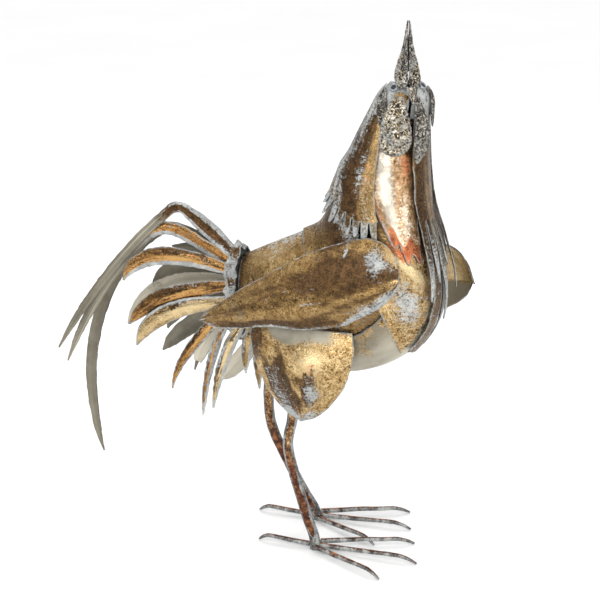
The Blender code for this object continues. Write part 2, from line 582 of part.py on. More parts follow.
# The origin of the whole bird: the centre of its box, on the ground.
bpy.context.view_layer.update()
graph = bpy.context.evaluated_depsgraph_get()
low = Vector((1e9, 1e9, 1e9))
high = -low
for obj in rooster.objects:
    form = obj.evaluated_get(graph)
    body = form.to_mesh()
    for vertex in body.vertices:
        spot = form.matrix_world @ vertex.co
        low = Vector(map(min, low, spot))
        high = Vector(map(max, high, spot))
    form.to_mesh_clear()
origin = bpy.data.objects.new("bird_origin", None)
rooster.objects.link(origin)
origin.location = (-(low.x + high.x) / 2, -(low.y + high.y) / 2, -low.z)
for obj in list(rooster.objects):
    if obj is not origin:
        obj.parent = origin
bpy.context.view_layer.update()
print("shift to the box centre", [round(v, 6) for v in origin.location], "box", [round(v, 5) for v in high - low])
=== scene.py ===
"""Looks for the standing rooster of cut, bent, gilded and weathered sheet metal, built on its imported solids.

Every plate, blade and rod follows the same surface as its solid, drawn finer, with dents, ragged edges and pitting.
Lengths are metres and the bird is laid out from the point between its feet, then moved by SHIFT to the row's origin.
"""

from math import cos, pi, radians, sin, sqrt

import bpy
import numpy as np
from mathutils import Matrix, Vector
from mathutils.kdtree import KDTree


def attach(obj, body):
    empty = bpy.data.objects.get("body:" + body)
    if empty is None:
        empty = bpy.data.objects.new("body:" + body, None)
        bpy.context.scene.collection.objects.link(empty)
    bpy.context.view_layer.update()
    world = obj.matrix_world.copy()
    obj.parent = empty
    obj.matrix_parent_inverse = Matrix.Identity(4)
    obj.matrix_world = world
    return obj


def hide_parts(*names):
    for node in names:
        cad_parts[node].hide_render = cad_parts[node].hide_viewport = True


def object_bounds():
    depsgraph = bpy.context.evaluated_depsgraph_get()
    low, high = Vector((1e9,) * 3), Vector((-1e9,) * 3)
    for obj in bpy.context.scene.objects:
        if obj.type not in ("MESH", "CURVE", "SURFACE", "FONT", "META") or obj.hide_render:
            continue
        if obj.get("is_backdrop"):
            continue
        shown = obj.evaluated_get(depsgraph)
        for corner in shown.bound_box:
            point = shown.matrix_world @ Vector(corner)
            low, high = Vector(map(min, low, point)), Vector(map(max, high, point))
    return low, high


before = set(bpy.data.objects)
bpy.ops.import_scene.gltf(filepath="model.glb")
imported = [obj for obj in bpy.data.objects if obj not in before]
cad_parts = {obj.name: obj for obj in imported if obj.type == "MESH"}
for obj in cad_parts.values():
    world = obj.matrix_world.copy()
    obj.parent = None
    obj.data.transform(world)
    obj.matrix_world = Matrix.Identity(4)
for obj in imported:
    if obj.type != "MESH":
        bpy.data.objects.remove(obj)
cad_low, cad_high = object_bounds()

U = 0.001
SHEET = 0.0012
FEATHER_SHEET = 0.0011
SEAT_GAP = 0.0003
PITCH = SHEET + 0.0009
FAN_PITCH = FEATHER_SHEET + 0.0007
LEG_RADIUS = 0.0060
TOE_RADIUS = 0.0030
CLAW_RADIUS = 0.0011
WING_LENGTH = 0.249
WING_SHOULDER = 0.8
THIGH_HEIGHT = 0.112
FAN_ANGLE = 1.55
FEET = {"right": (15, -36, 0), "left": (-16, 37, 0)}

sole = np.array([tuple(v.co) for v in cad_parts["leg_right"].data.vertices])
sole = sole[sole[:, 2] < 0.0005]
SHIFT = (sole.min(0) + sole.max(0)) / 2 - np.array(FEET["right"]) * U
SHIFT[2] = 0.0


def at(x, y, z):
    return np.array((x, y, z), float) * U


def unit(v):
    return v / np.linalg.norm(v, axis=-1, keepdims=True)


def compass(degrees):
    return np.array((cos(radians(degrees)), sin(radians(degrees)), 0.0))


def left_of(heading):
    return np.array((-heading[1], heading[0], 0.0))


def blend(values, t):
    """A smooth curve through evenly spaced values, read at t from 0 to the last index."""
    values = np.asarray(values, float)
    last = len(values) - 1
    t = np.clip(np.asarray(t, float), 0.0, last)
    i = np.minimum(t.astype(int), last - 1)
    f = t - i
    p0, p1, p2, p3 = values[np.maximum(i - 1, 0)], values[i], values[i + 1], values[np.minimum(i + 2, last)]
    return 0.5 * (2 * p1 + (p2 - p0) * f + (2 * p0 - 5 * p1 + 4 * p2 - p3) * f * f + (3 * p1 - p0 - 3 * p2 + p3) * f**3)


def profile(points, t):
    """A smooth curve through (share, value) points."""
    xs, ys = np.array(points, float).T
    t = np.asarray(t, float)
    last = len(xs) - 1
    i = np.clip(np.searchsorted(xs, t, side="left") - 1, 0, last - 1)
    span = xs[i + 1] - xs[i]
    f = np.clip((t - xs[i]) / span, 0.0, 1.0)
    before, after = np.maximum(i - 1, 0), np.minimum(i + 2, last)
    slope_a = (ys[i + 1] - ys[before]) / (xs[i + 1] - xs[before])
    slope_b = (ys[after] - ys[i]) / (xs[after] - xs[i])
    h = f * f * (3 - 2 * f)
    return ys[i] * (1 - h) + ys[i + 1] * h + span * slope_a * f * (1 - f) ** 2 - span * slope_b * f * f * (1 - f)


def step(x, low, high):
    f = np.clip((x - low) / (high - low), 0.0, 1.0)
    return f * f * (3 - 2 * f)


def spot(x, y, cx, cy, rx, ry):
    return np.exp(-((x - cx) / rx) ** 2 - ((y - cy) / ry) ** 2)


def lattice(i, j, k, seed):
    """A repeatable value from -1 to 1 for each corner of a cubic lattice."""
    h = (i.astype(np.int64) * 374761393 + j.astype(np.int64) * 668265263 + k.astype(np.int64) * 2246822519
        + seed * 3266489917)
    h = (h ^ (h >> 13)) & 0xFFFFFFFF
    h = (h * 1274126177) & 0xFFFFFFFF
    h = (h ^ (h >> 16)) & 0xFFFFFFFF
    h = (h * 2246822519) & 0xFFFFFFFF
    return ((h ^ (h >> 15)) & 0xFFFFFF) / float(0x7FFFFF) - 1.0


def wobble(points, size, seed):
    """Smooth noise from -1 to 1 whose bumps are about this size."""
    q = np.asarray(points, float) / size + 1000.0
    base = np.floor(q)
    f = q - base
    f = f * f * f * (f * (6 * f - 15) + 10)
    i, j, k = base.T
    total = 0.0
    for a in (0, 1):
        for b in (0, 1):
            for c in (0, 1):
                share = (f[:, 0] if a else 1 - f[:, 0]) * (f[:, 1] if b else 1 - f[:, 1]) * (f[:, 2] if c else 1
                    - f[:, 2])
                total = total + share * lattice(i + a, j + b, k + c, seed)
    return total


def fractal(points, size, seed, octaves=3):
    total = 0.0
    for n in range(octaves):
        total = total + wobble(points, size / 2.0**n, seed + 17 * n) / 1.8**n
    return total


def pits(points, size, seed):
    """Distance to the nearest of a scatter of points, in cell sizes: low in a pit, high on the web between."""
    q = np.asarray(points, float) / size + 1000.0
    base = np.floor(q)
    nearest = np.full(len(q), 9.0)
    for a in (-1, 0, 1):
        for b in (-1, 0, 1):
            for c in (-1, 0, 1):
                i, j, k = (base + (a, b, c)).T
                centre = np.stack([i + 0.5 + 0.45 * lattice(i, j, k, seed), j + 0.5 + 0.45 * lattice(i, j, k, seed + 5),
                                   k + 0.5 + 0.45 * lattice(i, j, k, seed + 9)], axis=1)
                nearest = np.minimum(nearest, np.linalg.norm(q - centre, axis=1))
    return nearest


def line_noise(t, size, seed):
    t = np.asarray(t, float).ravel()
    return wobble(np.stack([t, np.full_like(t, 0.37), np.full_like(t, 0.71)], axis=1), size, seed)


class Shader:
    """Builds one procedural material; its methods add a node each and return the socket to read."""

    def __init__(self, name):
        self.material = bpy.data.materials.new(name)
        self.material.use_nodes = True
        self.tree = self.material.node_tree
        self.principled = self.tree.nodes["Principled BSDF"]
        self.place = self.tree.nodes.new("ShaderNodeTexCoord").outputs["Object"]

    def link(self, value, socket):
        if isinstance(value, bpy.types.NodeSocket):
            self.tree.links.new(value, socket)
        else:
            socket.default_value = value

    def stretched(self, scale, turn=(0, 0, 0)):
        node = self.tree.nodes.new("ShaderNodeMapping")
        node.inputs["Scale"].default_value = scale
        node.inputs["Rotation"].default_value = turn
        self.tree.links.new(self.place, node.inputs["Vector"])
        return node.outputs["Vector"]

    def noise(self, scale, detail=3.0, rough=0.6, twist=0.0, vector=None):
        node = self.tree.nodes.new("ShaderNodeTexNoise")
        self.tree.links.new(vector or self.place, node.inputs["Vector"])
        for key, value in (("Scale", scale), ("Detail", detail), ("Roughness", rough), ("Distortion", twist)):
            node.inputs[key].default_value = value
        return node.outputs["Fac"]

    def cell_walls(self, scale):
        node = self.tree.nodes.new("ShaderNodeTexVoronoi")
        node.feature = "DISTANCE_TO_EDGE"
        self.tree.links.new(self.place, node.inputs["Vector"])
        node.inputs["Scale"].default_value = scale
        return node.outputs["Distance"]

    def attribute(self, name):
        node = self.tree.nodes.new("ShaderNodeAttribute")
        node.attribute_name = name
        return node.outputs["Fac"]

    def math(self, operation, a, b=0.0):
        node = self.tree.nodes.new("ShaderNodeMath")
        node.operation = operation
        self.link(a, node.inputs[0])
        self.link(b, node.inputs[1])
        return node.outputs[0]

    def total(self, *terms):
        """Sum of (value, weight) terms."""
        out = 0.0
        for value, weight in terms:
            part = self.math("MULTIPLY", value, weight)
            out = part if isinstance(out, float) else self.math("ADD", out, part)
        return out

    def cut(self, value, low, high, to_low=0.0, to_high=1.0):
        node = self.tree.nodes.new("ShaderNodeMapRange")
        node.interpolation_type = "SMOOTHSTEP"
        self.link(value, node.inputs["Value"])
        for key, number in (("From Min", low), ("From Max", high), ("To Min", to_low), ("To Max", to_high)):
            node.inputs[key].default_value = number
        return node.outputs["Result"]

    def ramp(self, value, *stops):
        node = self.tree.nodes.new("ShaderNodeValToRGB")
        self.link(value, node.inputs["Fac"])
        elements = node.color_ramp.elements
        while len(elements) < len(stops):
            elements.new(0.5)
        for element, (place, color) in zip(elements, stops):
            element.position = place
            element.color = (*color, 1.0)
        return node.outputs["Color"]

    def mix(self, share, a, b):
        node = self.tree.nodes.new("ShaderNodeMix")
        node.data_type = "RGBA"
        self.link(share, node.inputs["Factor"])
        for value, socket in ((a, node.inputs[6]), (b, node.inputs[7])):
            self.link(value if isinstance(value, bpy.types.NodeSocket) else (*value, 1.0), socket)
        return node.outputs[2]

    def blend_value(self, share, a, b):
        node = self.tree.nodes.new("ShaderNodeMix")
        node.data_type = "FLOAT"
        self.link(share, node.inputs["Factor"])
        self.link(a, node.inputs[2])
        self.link(b, node.inputs[3])
        return node.outputs[0]

    def finish(self, color, metallic, roughness, height, depth=0.0003, strength=0.5):
        self.link(color, self.principled.inputs["Base Color"])
        self.link(metallic, self.principled.inputs["Metallic"])
        self.link(roughness, self.principled.inputs["Roughness"])
        bump = self.tree.nodes.new("ShaderNodeBump")
        bump.inputs["Strength"].default_value = strength
        bump.inputs["Distance"].default_value = depth
        self.link(height, bump.inputs["Height"])
        self.tree.links.new(bump.outputs["Normal"], self.principled.inputs["Normal"])
        return self.material


PAINT_DARK = (0.15, 0.155, 0.15)
PAINT_MIDDLE = (0.34, 0.355, 0.35)
PAINT_LIGHT = (0.60, 0.61, 0.58)
BARE_DARK = (0.13, 0.115, 0.080)
BARE_LIGHT = (0.22, 0.20, 0.148)
BARE_PALE = (0.64, 0.59, 0.47)
BROWN_DARK = (0.038, 0.022, 0.010)
BROWN_LIGHT = (0.1368, 0.0726, 0.0290)
COPPER_DARK = (0.38, 0.09, 0.04)
COPPER_LIGHT = (0.66, 0.27, 0.12)
COVER_GAIN = 3.1


def gilded(name, dark, middle, light, rough=(0.18, 0.36)):
    """Grey paint, gold leaf over it, brown patina, copper blushes and painted highlights; a piece's own fields say how
    much of each.
    """
    s = Shader(name)
    large = s.noise(24.0, 3.0, 0.6)
    patch = s.noise(85.0, 6.0, 0.70, 0.5)
    other = s.noise(105.0, 6.0, 0.72, 0.8, s.stretched((1.0, 1.0, 1.0), (0.7, 0.4, 1.1)))
    middling = s.noise(190.0, 5.0, 0.78, 0.7)
    speck = s.noise(480.0, 4.0, 0.8)
    fine = s.noise(1500.0, 2.0, 0.7)
    hair = s.noise(55.0, 5.0, 0.75, 0.3, s.stretched((1.0, 1.0, 11.0), (0.35, 0.75, 0.2)))
    rim = s.attribute("rim")

    def covered(field, low, high, *terms):
        """Field 0 covers nothing, 1 covers all, and between them the noises decide where."""
        centre = sum(weight for _, weight in terms) * 0.5 * COVER_GAIN
        noise = s.total(*[(value, weight * COVER_GAIN) for value, weight in terms])
        return s.cut(s.math("ADD", s.attribute(field), noise), centre + low, centre + high)

    leaf = s.ramp(s.total((large, 0.10), (other, 0.25), (middling, 0.30), (speck, 0.35)), (0.41, dark), (0.495, middle),
        (0.58, light))
    # Painted highlight: where the highlight field is high the leaf turns to its lightest colour.
    leaf = s.mix(s.cut(s.attribute("highlight_and_pale"), 0.05, 1.0, 0.0, 0.85), leaf, light)
    has_brown = covered("brown", 0.42, 0.62, (large, 0.06), (patch, 0.18), (middling, 0.34), (speck, 0.34),
        (hair, 0.22))
    has_copper = covered("copper", 0.36, 0.76, (large, 0.15), (other, 0.30), (middling, 0.25), (speck, 0.30))
    worn = s.cut(s.math("ADD", rim, s.total((other, 7.0), (speck, 3.0), (large, 4.0))), 7.6, 8.6, 0.75, 0.0)
    has_paint = s.math("MAXIMUM", covered("paint", 0.40, 0.64, (large, 0.08), (middling, 0.32), (speck, 0.34),
        (hair, 0.30)), worn)
    specks = s.cut(s.total((speck, 0.42), (middling, 0.34), (patch, 0.24)), 0.435, 0.475, 0.85, 0.0)
    specks = s.math("MULTIPLY", specks, s.cut(s.attribute("highlight_and_pale"), 0.05, 0.7, 1.0, 0.1))
    has_paint = s.math("MULTIPLY", has_paint, s.math("SUBTRACT", 1.0, s.math("MULTIPLY", specks, 0.75)))
    has_bare = covered("bare", 0.25, 0.75, (large, 0.45), (patch, 0.40), (speck, 0.15))
    brown_tone = s.mix(s.cut(s.total((speck, 0.6), (other, 0.4)), 0.43, 0.57), BROWN_DARK, BROWN_LIGHT)
    copper_tone = s.mix(s.cut(patch, 0.35, 0.65), COPPER_DARK, COPPER_LIGHT)
    paint_tone = s.ramp(s.total((large, 0.25), (patch, 0.35), (speck, 0.2), (fine, 0.2)), (0.38, PAINT_DARK),
        (0.49, PAINT_MIDDLE), (0.60, PAINT_LIGHT))
    bare_tone = s.ramp(s.total((large, 0.6), (patch, 0.3), (fine, 0.1)), (0.38, BARE_DARK), (0.62, BARE_LIGHT))
    # Painted highlight and pale metal: the same field turns bare metal towards BARE_PALE.
    bare_tone = s.mix(s.cut(s.attribute("highlight_and_pale"), 0.0, 1.0), bare_tone, BARE_PALE)
    color = s.mix(has_copper, leaf, copper_tone)
    color = s.mix(s.math("MAXIMUM", has_brown, specks), color, brown_tone)
    color = s.mix(has_paint, color, paint_tone)
    color = s.mix(has_bare, color, bare_tone)
    metal = s.blend_value(has_paint, s.blend_value(has_brown, 0.97, 0.88), 0.12)
    metal = s.blend_value(has_bare, metal, 0.3)
    dull = s.blend_value(has_brown, s.cut(speck, 0.35, 0.68, *rough), 0.38)
    dull = s.blend_value(s.attribute("highlight_and_pale"), dull, s.cut(speck, 0.35, 0.7, 0.10, 0.30))
    dull = s.blend_value(has_paint, dull, s.cut(fine, 0.3, 0.7, 0.36, 0.52))
    dull = s.blend_value(has_bare, dull, 0.40)
    height = s.total((has_brown, -0.4), (has_paint, -0.5), (speck, 0.7), (patch, 1.6), (fine, 0.15))
    return s.finish(color, metal, dull, height, 0.0006, 0.6)


def pitted(name):
    """Speckled crust: webs of pale paint, gold and white glints and dark pits."""
    s = Shader(name)
    web = s.cell_walls(300.0)
    tone = s.noise(230.0, 4.0, 0.8, 1.4)
    fine = s.noise(900.0, 3.0, 0.7)
    patch = s.noise(75.0, 3.0, 0.6)
    rim = s.attribute("rim")
    gold = s.ramp(s.total((tone, 0.75), (fine, 0.25)), (0.42, (0.04, 0.030, 0.018)), (0.47, (0.27, 0.19, 0.085)),
                  (0.51, (0.72, 0.58, 0.34)), (0.55, (0.99, 0.97, 0.92)))
    paint = s.ramp(s.total((fine, 0.5), (tone, 0.5)), (0.42, (0.13, 0.122, 0.106)), (0.50, (0.33, 0.318, 0.285)),
        (0.58, (0.61, 0.595, 0.54)))
    on_rim = s.cut(s.math("ADD", rim, s.total((tone, 3.0))), 2.6, 3.8, 1.0, 0.0)
    grey = s.total((s.attribute("paint"), 1.0), (tone, 2.2), (patch, 3.0), (web, -0.9), (on_rim, 1.2))
    has_paint = s.cut(grey, 2.80, 3.00)
    dark = s.cut(s.total((s.attribute("brown"), 1.0), (tone, -2.6), (fine, 1.2), (patch, -0.6), (web, -0.5)), -0.97,
        -0.87)
    color = s.mix(dark, s.mix(has_paint, gold, paint), (0.045, 0.036, 0.030))
    metal = s.blend_value(has_paint, 0.9, 0.15)
    height = s.total((web, 2.0), (tone, 2.0), (fine, 0.5), (dark, -1.2), (has_paint, 0.5))
    return s.finish(color, metal, s.blend_value(has_paint, 0.26, 0.55), height, 0.0008, 0.9)


def cut_edge(name):
    """The cut rim of the sheet: pale paint broken by dark steel."""
    s = Shader(name)
    mottle = s.noise(180.0, 5.0, 0.75)
    large = s.noise(40.0, 2.0, 0.5)
    color = s.ramp(s.total((mottle, 0.6), (large, 0.4)), (0.45, (0.035, 0.028, 0.022)), (0.53, (0.20, 0.19, 0.17)),
        (0.62, (0.55, 0.55, 0.52)))
    return s.finish(color, 0.4, s.cut(mottle, 0.3, 0.7, 0.35, 0.6), mottle, 0.0002, 0.4)


def rod_finish(name):
    """Brown patina and copper on round bar, with pale paint left in long streaks."""
    s = Shader(name)
    streak = s.noise(70.0, 5.0, 0.7, 0.3, s.stretched((1.0, 1.0, 0.28)))
    speck = s.noise(420.0, 4.0, 0.75)
    patch = s.noise(110.0, 5.0, 0.7)
    speckled = s.ramp(s.total((patch, 0.5), (speck, 0.5)), (0.41, (0.035, 0.020, 0.014)), (0.47, (0.14, 0.066, 0.030)),
                      (0.53, (0.34, 0.20, 0.085)), (0.60, (0.72, 0.55, 0.30)))
    plain = s.ramp(s.total((patch, 0.7), (speck, 0.3)), (0.41, (0.040, 0.016, 0.012)), (0.50, (0.105, 0.038, 0.020)),
                   (0.59, (0.27, 0.120, 0.052)))
    tone = s.mix(s.attribute("brown"), speckled, plain)
    has_paint = s.cut(s.total((s.attribute("paint"), 1.0), (streak, 1.4), (speck, 1.2)), 1.75, 1.90)
    paint = s.ramp(s.total((speck, 0.25), (patch, 0.25), (streak, 0.5)), (0.43, (0.035, 0.036, 0.034)),
        (0.50, (0.19, 0.195, 0.19)), (0.58, (0.42, 0.43, 0.41)))
    color = s.mix(has_paint, tone, paint)
    metal = s.blend_value(has_paint, 0.85, 0.2)
    rough = s.blend_value(has_paint, s.cut(speck, 0.3, 0.7, 0.26, 0.46), 0.5)
    return s.finish(color, metal, rough, s.total((has_paint, -0.4), (speck, 0.6), (patch, 0.5)), 0.0003, 0.5)


def eye_finish(name):
    s = Shader(name)
    fine = s.noise(900.0, 3.0, 0.7)
    ring = s.cut(s.math("ADD", s.attribute("rim"), s.total((fine, 0.6))), 0.2, 1.6)
    color = s.mix(ring, s.mix(s.cut(fine, 0.4, 0.6), (0.16, 0.18, 0.20), (0.50, 0.53, 0.55)), (0.035, 0.032, 0.035))
    return s.finish(color, 0.5, s.cut(fine, 0.3, 0.7, 0.2, 0.42), fine, 0.0002, 0.4)


OCHRE = gilded("ochre_leaf", (0.12, 0.064, 0.022), (0.27, 0.163, 0.060), (0.52, 0.36, 0.165))
YELLOW = gilded("yellow_leaf", (0.15, 0.080, 0.028), (0.40, 0.255, 0.100), (0.76, 0.60, 0.34))
DARK = gilded("dark_leaf", (0.075, 0.042, 0.020), (0.19, 0.110, 0.044), (0.42, 0.28, 0.12))
# The copper leaf's lightest colour is near white: the colour of the painted highlight on the throat.
RED = gilded("copper_leaf", (0.22, 0.095, 0.035), (0.48, 0.285, 0.125), (1.0, 0.93, 0.79), rough=(0.10, 0.26))
CLAY = gilded("orange_leaf", (0.18, 0.075, 0.022), (0.40, 0.19, 0.055), (0.66, 0.40, 0.15))
BACK = gilded("sheet_back", (0.12, 0.085, 0.05), (0.20, 0.16, 0.105), (0.34, 0.30, 0.21))
EDGE = cut_edge("sheet_edge")
CRUST = pitted("pitted_crust")
BAR = rod_finish("rod_patina")
EYE = eye_finish("eye_button_metal")

FIELDS = ("paint", "brown", "copper", "highlight_and_pale", "bare")


def rim_distance(points, faces):
    """Millimetres from each point to the sheet's nearest open edge."""
    count = {}
    for face in faces:
        for a, b in zip(face, face[1:] + face[:1]):
            key = (a, b) if a < b else (b, a)
            count[key] = count.get(key, 0) + 1
    tree_points = []
    for (a, b), n in count.items():
        if n == 1:
            tree_points += [points[a], (points[a] + points[b]) / 2]
    if not tree_points:
        return np.full(len(points), 50.0)
    tree = KDTree(len(tree_points))
    for i, p in enumerate(tree_points):
        tree.insert(p, i)
    tree.balance()
    return np.array([tree.find(p)[2] for p in points]) * 1000.0


def set_field(mesh, name, value):
    mesh.attributes.new(name, "FLOAT", "POINT").data.foreach_set("value", np.ascontiguousarray(value, np.float32))


def show(mesh, node, slot, smooth=50.0, thickness=0.0):
    """Puts a mesh in the scene as the looks of its node, with the thickness of its sheet where it has one."""
    obj = bpy.data.objects.new(node + "_metal", mesh)
    bpy.context.scene.collection.objects.link(obj)
    if thickness:
        thick = obj.modifiers.new("thickness", "SOLIDIFY")
        thick.thickness = thickness
        thick.offset = 0.0
        thick.use_even_offset = False
        thick.material_offset = 1
        thick.material_offset_rim = 2
    mesh.shade_smooth()
    mesh.set_sharp_from_angle(angle=radians(smooth))
    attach(obj, "root")
    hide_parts(node)


def metal(node, slot, points, faces, outward, front, fields, thickness=SHEET, dent=0.5, crust=0.0, back=None,
        smooth=45.0):
    """One sheet: an open surface with dents, its fields for the finish, and its thickness."""
    mesh = bpy.data.meshes.new(node + "_skin")
    faces = [tuple(int(i) for i in face) for face in faces]
    mesh.from_pydata(points.tolist(), [], faces)
    normals = np.zeros(len(points) * 3)
    mesh.vertices.foreach_get("normal", normals)
    normals = normals.reshape(-1, 3)
    if (normals * outward).sum() < 0:
        mesh.flip_normals()
        normals = -normals
    seed = sum(ord(c) for c in node)
    rim = rim_distance(points, faces)
    relief = dent * (0.42 * wobble(points, 0.030, seed) + 0.22 * wobble(points, 0.013, seed + 1)
        + 0.05 * wobble(points, 0.005, seed + 2))
    if crust:
        web = pits(points, 0.0034, seed)
        relief = relief + crust * (np.clip(web, 0, 1) - 0.5) * step(rim, 0.6, 2.4) + 0.25 * crust * wobble(points,
            0.0018, seed + 3)
    points = points + normals * (relief * U)[:, None] + SHIFT
    mesh.vertices.foreach_set("co", points.ravel())
    values = {name: np.zeros(len(points)) for name in FIELDS}
    for name, value in fields.items():
        values[name] = np.broadcast_to(value, (len(points),))
    values["rim"] = rim
    for name, value in values.items():
        set_field(mesh, name, value)
    for material in (front, back or BACK, front if front is CRUST else EDGE):
        mesh.materials.append(material)
    mesh.update()
    show(mesh, node, slot, smooth, thickness)


def grid(rows, columns):
    r, c = np.meshgrid(np.linspace(0, 1, rows + 1), np.linspace(0, 1, columns + 1), indexing="ij")
    index = np.arange((rows + 1) * (columns + 1)).reshape(rows + 1, columns + 1)
    faces = np.stack([index[:-1, :-1], index[:-1, 1:], index[1:, 1:], index[1:, :-1]], axis=-1).reshape(-1, 4)
    return r.ravel(), c.ravel(), faces


def ring_faces(rings, around):
    """Quads between closed rings that have this many points each."""
    return [(k * around + i, k * around + (i + 1) % around, (k + 1) * around + (i + 1) % around, (k + 1) * around + i)
            for k in range(rings - 1) for i in range(around)]


# Trunk surface: back point, belly or breast point (x, z) and half width of each station.
BODY_HALF = 57.0
STATIONS = (
    ((-86, 326), (-76, 229), 0.50), ((-54, 342), (-40, 214), 0.74), ((-23, 357), (4, 207), 0.89),
    ((2, 370), (48, 209), 0.98), ((13, 382), (88, 224), 1.00), ((19, 394), (118, 247), 1.00),
    ((24, 406), (138, 280), 0.98), ((28, 418), (143, 318), 0.95), ((32, 430), (135, 358), 0.88),
    ((37, 444), (124, 402), 0.78), ((46, 458), (120, 444), 0.66), ((57, 480), (119, 478), 0.56),
    ((68, 502), (118, 502), 0.45), ((77, 519), (117, 519), 0.34), ((88, 531), (106, 531), 0.17),
)
COLUMNS = [np.array([s[0][0] for s in STATIONS]), np.array([s[0][1] for s in STATIONS]),
           np.array([s[1][0] for s in STATIONS]), np.array([s[1][1] for s in STATIONS]),
           np.array([s[2] * BODY_HALF for s in STATIONS])]


def trunk(s, phi):
    s, phi = np.broadcast_arrays(np.asarray(s, float), np.radians(np.asarray(phi, float)))
    bx, bz, fx, fz, half = (blend(column, s) for column in COLUMNS)
    return np.stack([(bx + fx) / 2 + (bx - fx) / 2 * np.cos(phi), -half * np.sin(phi), (bz + fz) / 2
        + (bz - fz) / 2 * np.cos(phi)], axis=-1) * U


def trunk_out(s, phi):
    s, phi = np.broadcast_arrays(np.asarray(s, float), np.asarray(phi, float))
    along = trunk(np.minimum(s + 0.1, 14.0), phi) - trunk(np.maximum(s - 0.1, 0.0), phi)
    around = trunk(s, phi + 2.0) - trunk(s, phi - 2.0)
    out = unit(np.cross(around, along))
    middle = (trunk(s, 0.0 * phi) + trunk(s, 0.0 * phi + 180.0)) / 2
    flip = ((out * (trunk(s, phi) - middle)).sum(-1) < 0)[..., None]
    return np.where(flip, -out, out)


def on_trunk(s, phi, lift):
    return trunk(s, phi) + trunk_out(s, phi) * np.asarray(lift)[..., None]


def plate(node, slot, front, layer, s_low, s_high, phi_low, phi_high, rows, columns, fields, teeth=None, lift=None,
          ragged=1.0, dent=0.5):
    """A plate bent over the trunk, its lower edge cut into bent tabs where it has teeth."""
    seed = 3

    def limit(value, share):
        return value(share) if callable(value) else value + 0.0 * share

    def raised(r, v):
        return layer * PITCH + (lift(r, v) * U if lift else 0.0 * r)

    if teeth:
        depth, spread, count = teeth
        per = 6  # quads across a tab
        columns = count * per
    r, v, faces = grid(rows, columns)
    low, high = limit(s_low, v), limit(s_high, v)
    jag = 0.028 * ragged
    if not teeth:
        low = low + jag * line_noise(v * columns, 2.2, seed) + 0.5 * jag * line_noise(v * columns, 0.9, seed + 1)
    high = high + 0.6 * jag * line_noise(v * columns, 2.6, seed + 2)
    s = low + (high - low) * r
    p0 = limit(phi_low, r) + 0.9 * ragged * line_noise(r * rows, 3.1, seed + 4)
    p1 = limit(phi_high, r) + 0.9 * ragged * line_noise(r * rows, 2.7, seed + 5)
    phi = p0 + (p1 - p0) * v
    points = [on_trunk(s, phi, raised(r, v))]
    out = [trunk_out(s, phi)]
    shares = [(r, v, 0.0 * r)]
    faces = [tuple(f) for f in faces]
    if teeth:
        base = len(r)
        levels = np.array([0.0, 0.06, 0.14, 0.25, 0.37, 0.5, 0.63, 0.76, 0.88, 1.0])
        narrow = np.interp(levels, [0, 0.06, 0.5, 0.85, 1.0], [1.0, 0.84, 0.70, 0.36, 0.08])
        zero = np.zeros(1)
        q0, q1 = float(limit(phi_low, zero)[0]), float(limit(phi_high, zero)[0])
        for tooth in range(count):
            centre = (tooth + 0.5) / count
            s0 = float(limit(s_low, np.array([centre]))[0])
            wild = line_noise(np.array([tooth * 3.3, tooth * 3.3 + 40, tooth * 3.3 + 80, tooth * 3.3 + 120]), 1.0, seed
                + 7)
            length = depth[tooth % len(depth)] * (1.0 + 0.32 * wild[0])
            for level in range(1, len(levels)):
                q = levels[level]
                inner = np.linspace(-0.5, 0.5, per + 1) * narrow[level]
                vv = centre + (inner + 0.45 * wild[1] * q * q) / count
                edge_s = limit(s_low, np.clip(centre + np.linspace(-0.5, 0.5, per + 1) / count, 0, 1))
                ss = (edge_s * (1 - min(1.0, 3 * q)) + s0 * min(1.0, 3 * q)) - length * q
                pp = q0 + (q1 - q0) * vv
                rise = np.interp(q, [0, 0.5, 1],
                    [0, 1.0, spread]) + 1.3 * wild[2] * q * q + wild[3] * 1.6 * q * inner * 2
                lifted = raised(np.zeros(per + 1), vv) + (rise
                    + 0.9 * q * (1 - (2 * inner / max(narrow[level], 0.1)) ** 2)) * U
                points.append(on_trunk(ss, pp, lifted))
                out.append(trunk_out(ss, pp))
                shares.append((np.zeros(per + 1) - q * 0.3, vv, np.full(per + 1, q)))
                here = base + (tooth * (len(levels) - 1) + level - 1) * (per + 1)
                above = tooth * per if level == 1 else here - (per + 1)
                for k in range(per):
                    faces.append((above + k, above + k + 1, here + k + 1, here + k))
    points, out = np.concatenate(points), np.concatenate(out)
    r, v, q = (np.concatenate([share[k] for share in shares]) for k in range(3))
    metal(node, slot, points, faces, out, front, fields(r, v, q), dent=dent)


def brushed(t, u, seed, along=2.2, across=3.0):
    """Streaks that run along t, from about -1 to 1."""
    return fractal(np.stack([t * along, u * across, 0.0 * t + seed], axis=1), 1.0, seed, 4)


GOLD_SLOT, DARK_SLOT, GREY_SLOT, COPPER_SLOT, PIT_SLOT, ROD_SLOT, EYE_SLOT = (
    "gilded_sheet", "brown_gilded_sheet", "grey_painted_sheet", "copper_gilded_sheet", "pitted_sheet",
    "brown_gilded_rod", "eye_button")
